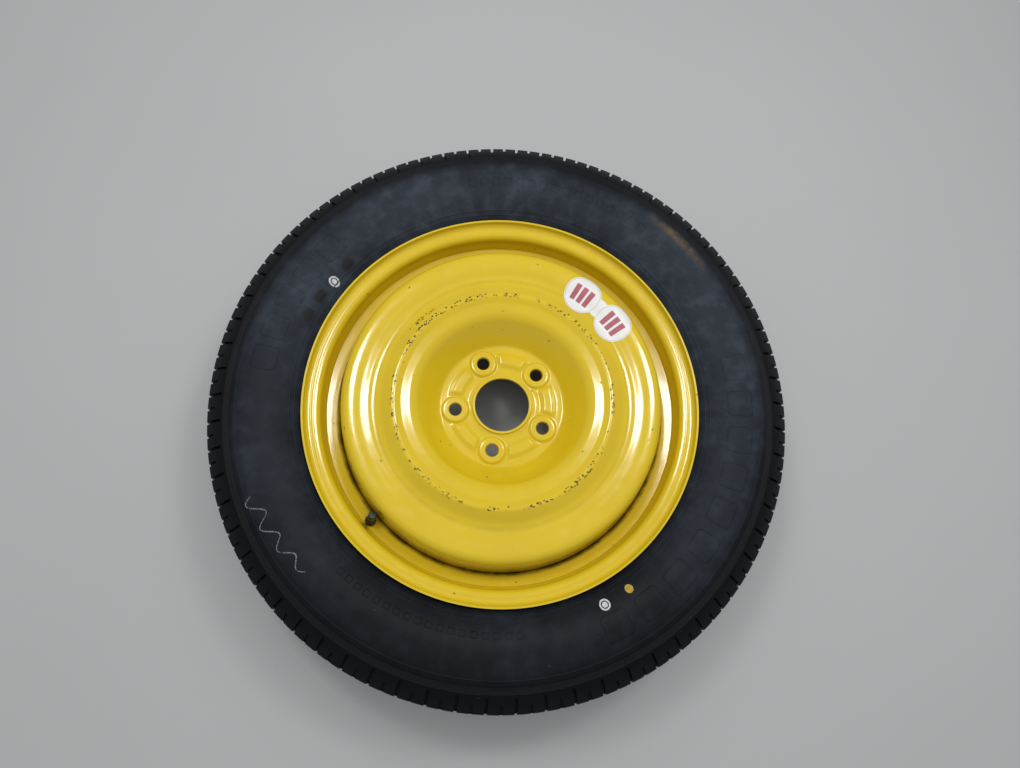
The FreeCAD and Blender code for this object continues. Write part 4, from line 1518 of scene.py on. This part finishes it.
    def build_scrawl(self, tyre: Tyre, chalk: Material) -> None:
        """Draw a wavering chalk line.

        Args:
            tyre: The tyre that carries it.
            chalk: Worn chalk.
        """
        share = np.linspace(0.0, 1.0, self.scrawl_steps)
        (start_radius, start_angle), (end_radius, end_angle) = self.scrawl
        middle = ((start_radius + end_radius) / 2, (start_angle + end_angle) / 2)
        length = math.radians(end_angle - start_angle) * middle[0]
        swing = self.scrawl_swing * np.sin(2 * math.pi * self.scrawl_waves * share)
        out = (0.5 - share) * (start_radius - end_radius) + swing * (1 - self.scrawl_fade * share)
        line = np.stack([(share - 0.5) * length, out], 1)
        rate, phase = self.scrawl_beat
        press = self.scrawl_thin + (1 - self.scrawl_thin) * np.sin(rate * share + phase) ** 2
        side = normals_of(line) * (self.scrawl_half * press)[:, None]
        ribbon = line + side * np.array([1.0, -1.0, -1.0, 1.0])[:, None, None]
        lift = np.array([self.lift, self.lift, -self.sink, -self.sink])[:, None]
        shell = Shell()
        shell.add_bar(self.spread(tyre, middle, ribbon, lift))
        settle(shell.build("tyre_scrawl"), Body.WHEEL, Slot.LABEL, chalk)


@dataclass
class Valve:
    """The snap-in valve along its own axis: ringed rubber, threaded barrel, fluted cap and core spring."""

    joint_height: float = 20.0
    columns: int = 72
    weld: float = 0.001
    tube: float = 3.2
    # The rubber's corners: foot, the seat in the rim's hole, the bulge over it, and the neck
    foot: Corner = (8.8, -7.3, 1.3)
    seat: tuple[Corner, Corner] = ((5.75, -2.3, 0.3), (5.75, 0.0, 0.3))
    bulge: tuple[Corner, Corner] = ((6.5, 1.5, 0.6), (6.5, 4.0, 1.3))
    neck: Corner = (4.8, 8.0, 4.0)
    neck_bend: float = 0.5
    rubber_top: float = 15.5
    ring_places: Triple = (9.6, 11.6, 13.6)
    ring_half: float = 0.4
    ring_height: float = 0.3
    outside: float = 4.5
    barrel: float = 3.85
    barrel_foot: float = -5.0
    barrel_top: float = 25.0
    core_bore: float = 2.65
    air_bore: float = 2.0
    bore_step: Pair = (18.0, 16.8)
    thread_pitch: float = 0.794
    thread_depth: float = 0.32
    thread_lead: float = 1.0
    thread_rows: int = 8
    cap_foot: float = 15.8
    cap_top: float = 27.5
    cap_radius: float = 4.9
    cap_bore: float = 4.0
    cap_ceiling: float = 26.3
    cap_bends: Pair = (0.3, 1.2)
    flutes: int = 12
    flute_columns: int = 12
    flute_depth: float = 0.45
    # Distances over the cap's foot, and under its top, where the flutes fade out
    flute_low: Pair = (0.4, 1.2)
    flute_high: Pair = (1.6, 2.8)
    spring_low: float = 9.5
    spring_high: float = 16.2
    spring_coil: float = 0.95
    spring_wire: float = 0.15
    spring_turns: int = 6
    spring_steps: int = 24
    wire_steps: int = 10
    spring_weld: float = 1e-5

    def joint(self, name: str) -> dict:
        """The record's row of one joint."""
        return next(row for row in frame["joints"] if row["name"] == name)

    def place(self) -> Matrix:
        """Where the valve stands on the rim's ledge, its own Z along the axis that the cap turns about.

        Returns:
            The valve's frame in the part's frame, in metres.
        """
        turn = self.joint("cap_turn")
        axis = Vector(turn["axis"]).normalized()
        side = Vector((0.0, 1.0, 0.0))
        origin = Vector(turn["pos_m"]) - axis * self.joint_height * MM
        return Matrix.Translation(origin) @ Matrix((side.cross(axis), side, axis)).transposed().to_4x4()

    def turned(self, name: str, section: np.ndarray, columns: int, sharp: float = 35.0) -> Object:
        """Turn a closed section round the valve's axis and stand it in its place.

        Args:
            name: Name of the piece.
            section: Points of shape (rows, 2) or (rows, columns, 2).
            columns: Points round the axis.
            sharp: Edges that turn more than this stay sharp.

        Returns:
            The piece.
        """
        shell = Shell()
        shell.add_grid(lathe(section, turn_angles(columns)), wrap_rows=True)
        return shell.build(name, sharp, self.place(), weld=self.weld)

    def build_rubber(self, rubber: Material) -> None:
        """Turn the rubber body, with moulded rings that swell as bell curves round its neck.

        Args:
            rubber: The valve's rubber.
        """
        section = rounded_profile([
            (self.tube, self.foot[1]), self.foot, *self.seat, *self.bulge, self.neck,
            (self.neck[0], self.rubber_top, self.neck_bend), (self.tube, self.rubber_top),
        ], arc_step=10.0, line_step=0.25)
        away = section[:, 1, None] - np.array(self.ring_places)
        swell = self.ring_height * np.exp(-(away / self.ring_half) ** 2).sum(1)
        section[:, 0] += swell * (section[:, 0] > self.outside)
        piece = self.turned("valve_body", section, self.columns)
        settle(piece, Body.WHEEL, Slot.VALVE_RUBBER, rubber, "valve_rubber")

    def build_barrel(self, brass: Material) -> None:
        """Turn the brass tube, whose outer thread is a triangle wave that climbs one pitch a turn.

        Args:
            brass: The tube's brass.
        """
        rows = math.ceil((self.barrel_top - self.rubber_top) / self.thread_pitch * self.thread_rows)
        height = np.linspace(self.rubber_top, self.barrel_top, rows)
        phase = height[:, None] / self.thread_pitch - turn_angles(self.columns) / (2 * math.pi)
        ridge = np.abs(2 * (phase % 1.0) - 1.0)
        lead = ease(height, self.barrel_top, self.barrel_top - self.thread_lead)[:, None]
        radius = self.barrel - self.thread_depth * (1 - ridge * lead)
        thread = np.stack([radius, np.broadcast_to(height[:, None], radius.shape)], -1)
        bore = np.array([
            (self.core_bore, self.barrel_top), (self.core_bore, self.bore_step[0]),
            (self.air_bore, self.bore_step[1]), (self.air_bore, self.barrel_foot),
            (self.tube, self.barrel_foot), (self.tube, self.rubber_top),
        ])
        section = np.concatenate([thread, np.broadcast_to(bore[:, None, :], (len(bore), self.columns, 2))])
        piece = self.turned("valve_tube", section, self.columns, sharp=50.0)
        settle(piece, Body.WHEEL, Slot.BRASS, brass, "valve_barrel")

    def build_cap(self, plastic: Material) -> None:
        """Turn the screwed cap and press rounded flutes for the fingers into it, as a cosine round the axis.

        Args:
            plastic: The cap's plastic.
        """
        columns = self.flute_columns * self.flutes
        foot_bend, top_bend = self.cap_bends
        profile = rounded_profile([
            (0.0, self.cap_ceiling), (self.cap_bore, self.cap_ceiling), (self.cap_bore, self.cap_foot),
            (self.cap_radius, self.cap_foot, foot_bend), (self.cap_radius, self.cap_top, top_bend),
            (0.0, self.cap_top),
        ], arc_step=15.0, line_step=0.7)
        radius, height = profile.T
        run = ease(height - self.cap_foot, *self.flute_low) * ease(self.cap_top - height, *self.flute_high)
        wave = (0.5 + 0.5 * np.cos(self.flutes * turn_angles(columns))) ** 2
        depth = (self.flute_depth * run * (radius > self.outside))[:, None] * wave
        section = np.repeat(profile[:, None, :], columns, 1)
        section[..., 0] -= depth
        shell = Shell()
        shell.add_grid(lathe(section, turn_angles(columns)))
        piece = shell.build("cap_fluted", sharp_angle=45.0, place=self.place(), weld=self.weld)
        settle(piece, Body.CAP, Slot.CAP, plastic, "valve_cap")

    def build_spring(self, steel: Material) -> None:
        """Carry a round wire along a helix: the core's spring at its rest length; it is not made to shorten as the
        pin is pressed.

        Args:
            steel: The spring's steel.
        """
        turn = np.linspace(0.0, 2 * math.pi * self.spring_turns, self.spring_steps * self.spring_turns + 1)
        around = turn_angles(self.wire_steps)[:, None]
        low, high = self.spring_low + self.spring_wire, self.spring_high - self.spring_wire
        radius = self.spring_coil + self.spring_wire * np.cos(around)
        height = np.linspace(low, high, len(turn)) + self.spring_wire * np.sin(around)
        shell = Shell()
        shell.add_bar(polar(radius, turn, height))
        piece = shell.build("spring_coil", sharp_angle=60.0, place=self.place(), weld=self.spring_weld)
        settle(piece, Body.WHEEL, Slot.SPRING, steel, "core_spring")
        anchor = self.place() @ Vector((0.0, 0.0, self.spring_low * MM))
        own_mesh(piece)


@dataclass(frozen=True)
class Lamp:
    """A soft rectangular lamp, placed in metres as the camera sees it, and whether paint mirrors it."""

    name: str
    across: float
    far: float
    above: float
    size: Pair
    power: float
    mirrored: bool = True


@dataclass
class Studio:
    """Pale floor, soft lamps and the camera at the photograph's viewing angle."""

    floor_size: float = 30.0
    target: Triple = (0.0, 0.0, 0.05)
    lamps: tuple[Lamp, ...] = (
        Lamp("lamp_left", -0.42, 0.38, 1.4, (0.20, 0.26), 3.6),
        Lamp("lamp_right", 0.42, 0.38, 1.4, (0.20, 0.26), 3.6),
        Lamp("lamp_above", 0.0, 0.5, 2.4, (3.0, 3.0), 42.0, mirrored=False),
    )
    sky_colour: Colour = (0.86, 0.88, 0.90, 1.0)
    sky_strength: float = 0.36
    camera_place: Triple = (-0.1475, -0.1142, 0.8262)
    camera_right: Triple = (0.7408, -0.6695, 0.0540)
    camera_ahead: Triple = (0.2108, 0.1554, -0.9651)
    focal_pixels: float = 663.4
    image_width: float = 1020.0
    sensor: float = 36.0
    nearest: float = 0.01

    def floor(self, effects: Effects) -> None:
        """Lay a large pale floor under the tyre.

        Args:
            effects: Shared groups.
        """
        mesh = bpy.data.meshes.new("floor")
        half = self.floor_size / 2
        corners = ((-half, -half), (half, -half), (half, half), (-half, half))
        mesh.from_pydata([(x, y, CAD_BOX[0].z) for x, y in corners], [], [(0, 1, 2, 3)])
        floor = bpy.data.objects.new("floor", mesh)
        bpy.context.scene.collection.objects.link(floor)
        mesh.materials.append(FloorFinish().make(effects))

    def hang(self, lamp: Lamp) -> None:
        """Hang a lamp and point it at the wheel.

        Args:
            lamp: The lamp.
        """
        light = bpy.data.lights.new(lamp.name, "AREA")
        light.shape = "RECTANGLE"
        light.size, light.size_y = lamp.size
        light.energy = lamp.power
        across = Vector((*self.camera_right[:2], 0.0)).normalized()
        far = Vector((*self.camera_ahead[:2], 0.0)).normalized()
        place = across * lamp.across + far * lamp.far + Vector((0.0, 0.0, lamp.above))
        holder = bpy.data.objects.new(lamp.name, light)
        holder.location = place
        holder.rotation_euler = (Vector(self.target) - place).to_track_quat("-Z", "Y").to_euler()
        holder.visible_glossy = lamp.mirrored
        bpy.context.scene.collection.objects.link(holder)

    def sky(self) -> None:
        """Light the scene evenly from all round."""
        world = bpy.data.worlds.new("studio")
        world.use_nodes = True
        background = world.node_tree.nodes["Background"]
        background.inputs["Color"].default_value = self.sky_colour
        background.inputs["Strength"].default_value = self.sky_strength
        bpy.context.scene.world = world

    def camera(self) -> None:
        """Set the camera where the photograph's holes and edges say it stood."""
        data = bpy.data.cameras.new("camera")
        data.sensor_width = self.sensor
        data.lens = self.focal_pixels * self.sensor / self.image_width
        data.clip_start = self.nearest
        camera = bpy.data.objects.new("camera", data)
        right, ahead = Vector(self.camera_right), Vector(self.camera_ahead)
        turn = Matrix((right, right.cross(ahead), -ahead)).transposed().to_4x4()
        camera.matrix_world = Matrix.Translation(Vector(self.camera_place)) @ turn
        bpy.context.scene.collection.objects.link(camera)
        bpy.context.scene.camera = camera

    def build(self, effects: Effects) -> None:
        """Set floor, lamps, sky and camera.

        Args:
            effects: Shared groups.
        """
        self.floor(effects)
        for lamp in self.lamps:
            self.hang(lamp)
        self.sky()
        self.camera()
        bpy.context.scene.view_settings.view_transform = "Standard"


def dress_inner_nodes(materials: dict[Slot, Material]) -> None:
    """Give every CAD node that still shows the material of its slot.

    Args:
        materials: Materials by slot.
    """
    slots = {row["node"]: Slot(row["material_slot"]) for row in frame["record"]["subparts"]}
    for name, node in frame["nodes"].items():
        if node.hide_render:
            continue
        node.data.materials.clear()
        node.data.materials.append(materials[slots[name]])
        LOG.info("%s keeps its solid with %s", name, materials[slots[name]].name)


def main() -> None:
    """Build and dress every piece in order."""
    logging.basicConfig(level=logging.INFO, format="%(name)s: %(message)s")
    effects = Effects()
    materials = {slot: finish.make(effects) for slot, finish in FINISHES.items()}
    disc, tyre, marks, valve = Disc(), Tyre(), TyreMarks(), Valve()
    Rim().build(materials[Slot.PAINT])
    disc.build(materials[Slot.PAINT])
    Welds().build(materials[Slot.PAINT])
    Label().build(disc, materials[Slot.LABEL])
    tyre.build(materials[Slot.TYRE])
    marks.build_prints(tyre, WHITE_INK.make(effects), YELLOW_INK.make(effects), SMOOTH_RUBBER.make(effects))
    marks.build_frames(tyre, materials[Slot.TYRE])
    marks.build_scrawl(tyre, CHALK.make(effects))
    valve.build_rubber(materials[Slot.VALVE_RUBBER])
    valve.build_barrel(materials[Slot.BRASS])
    valve.build_cap(materials[Slot.CAP])
    valve.build_spring(materials[Slot.SPRING])
    dress_inner_nodes(materials)
    Studio().build(effects)


if __name__ == "__main__":
    main()
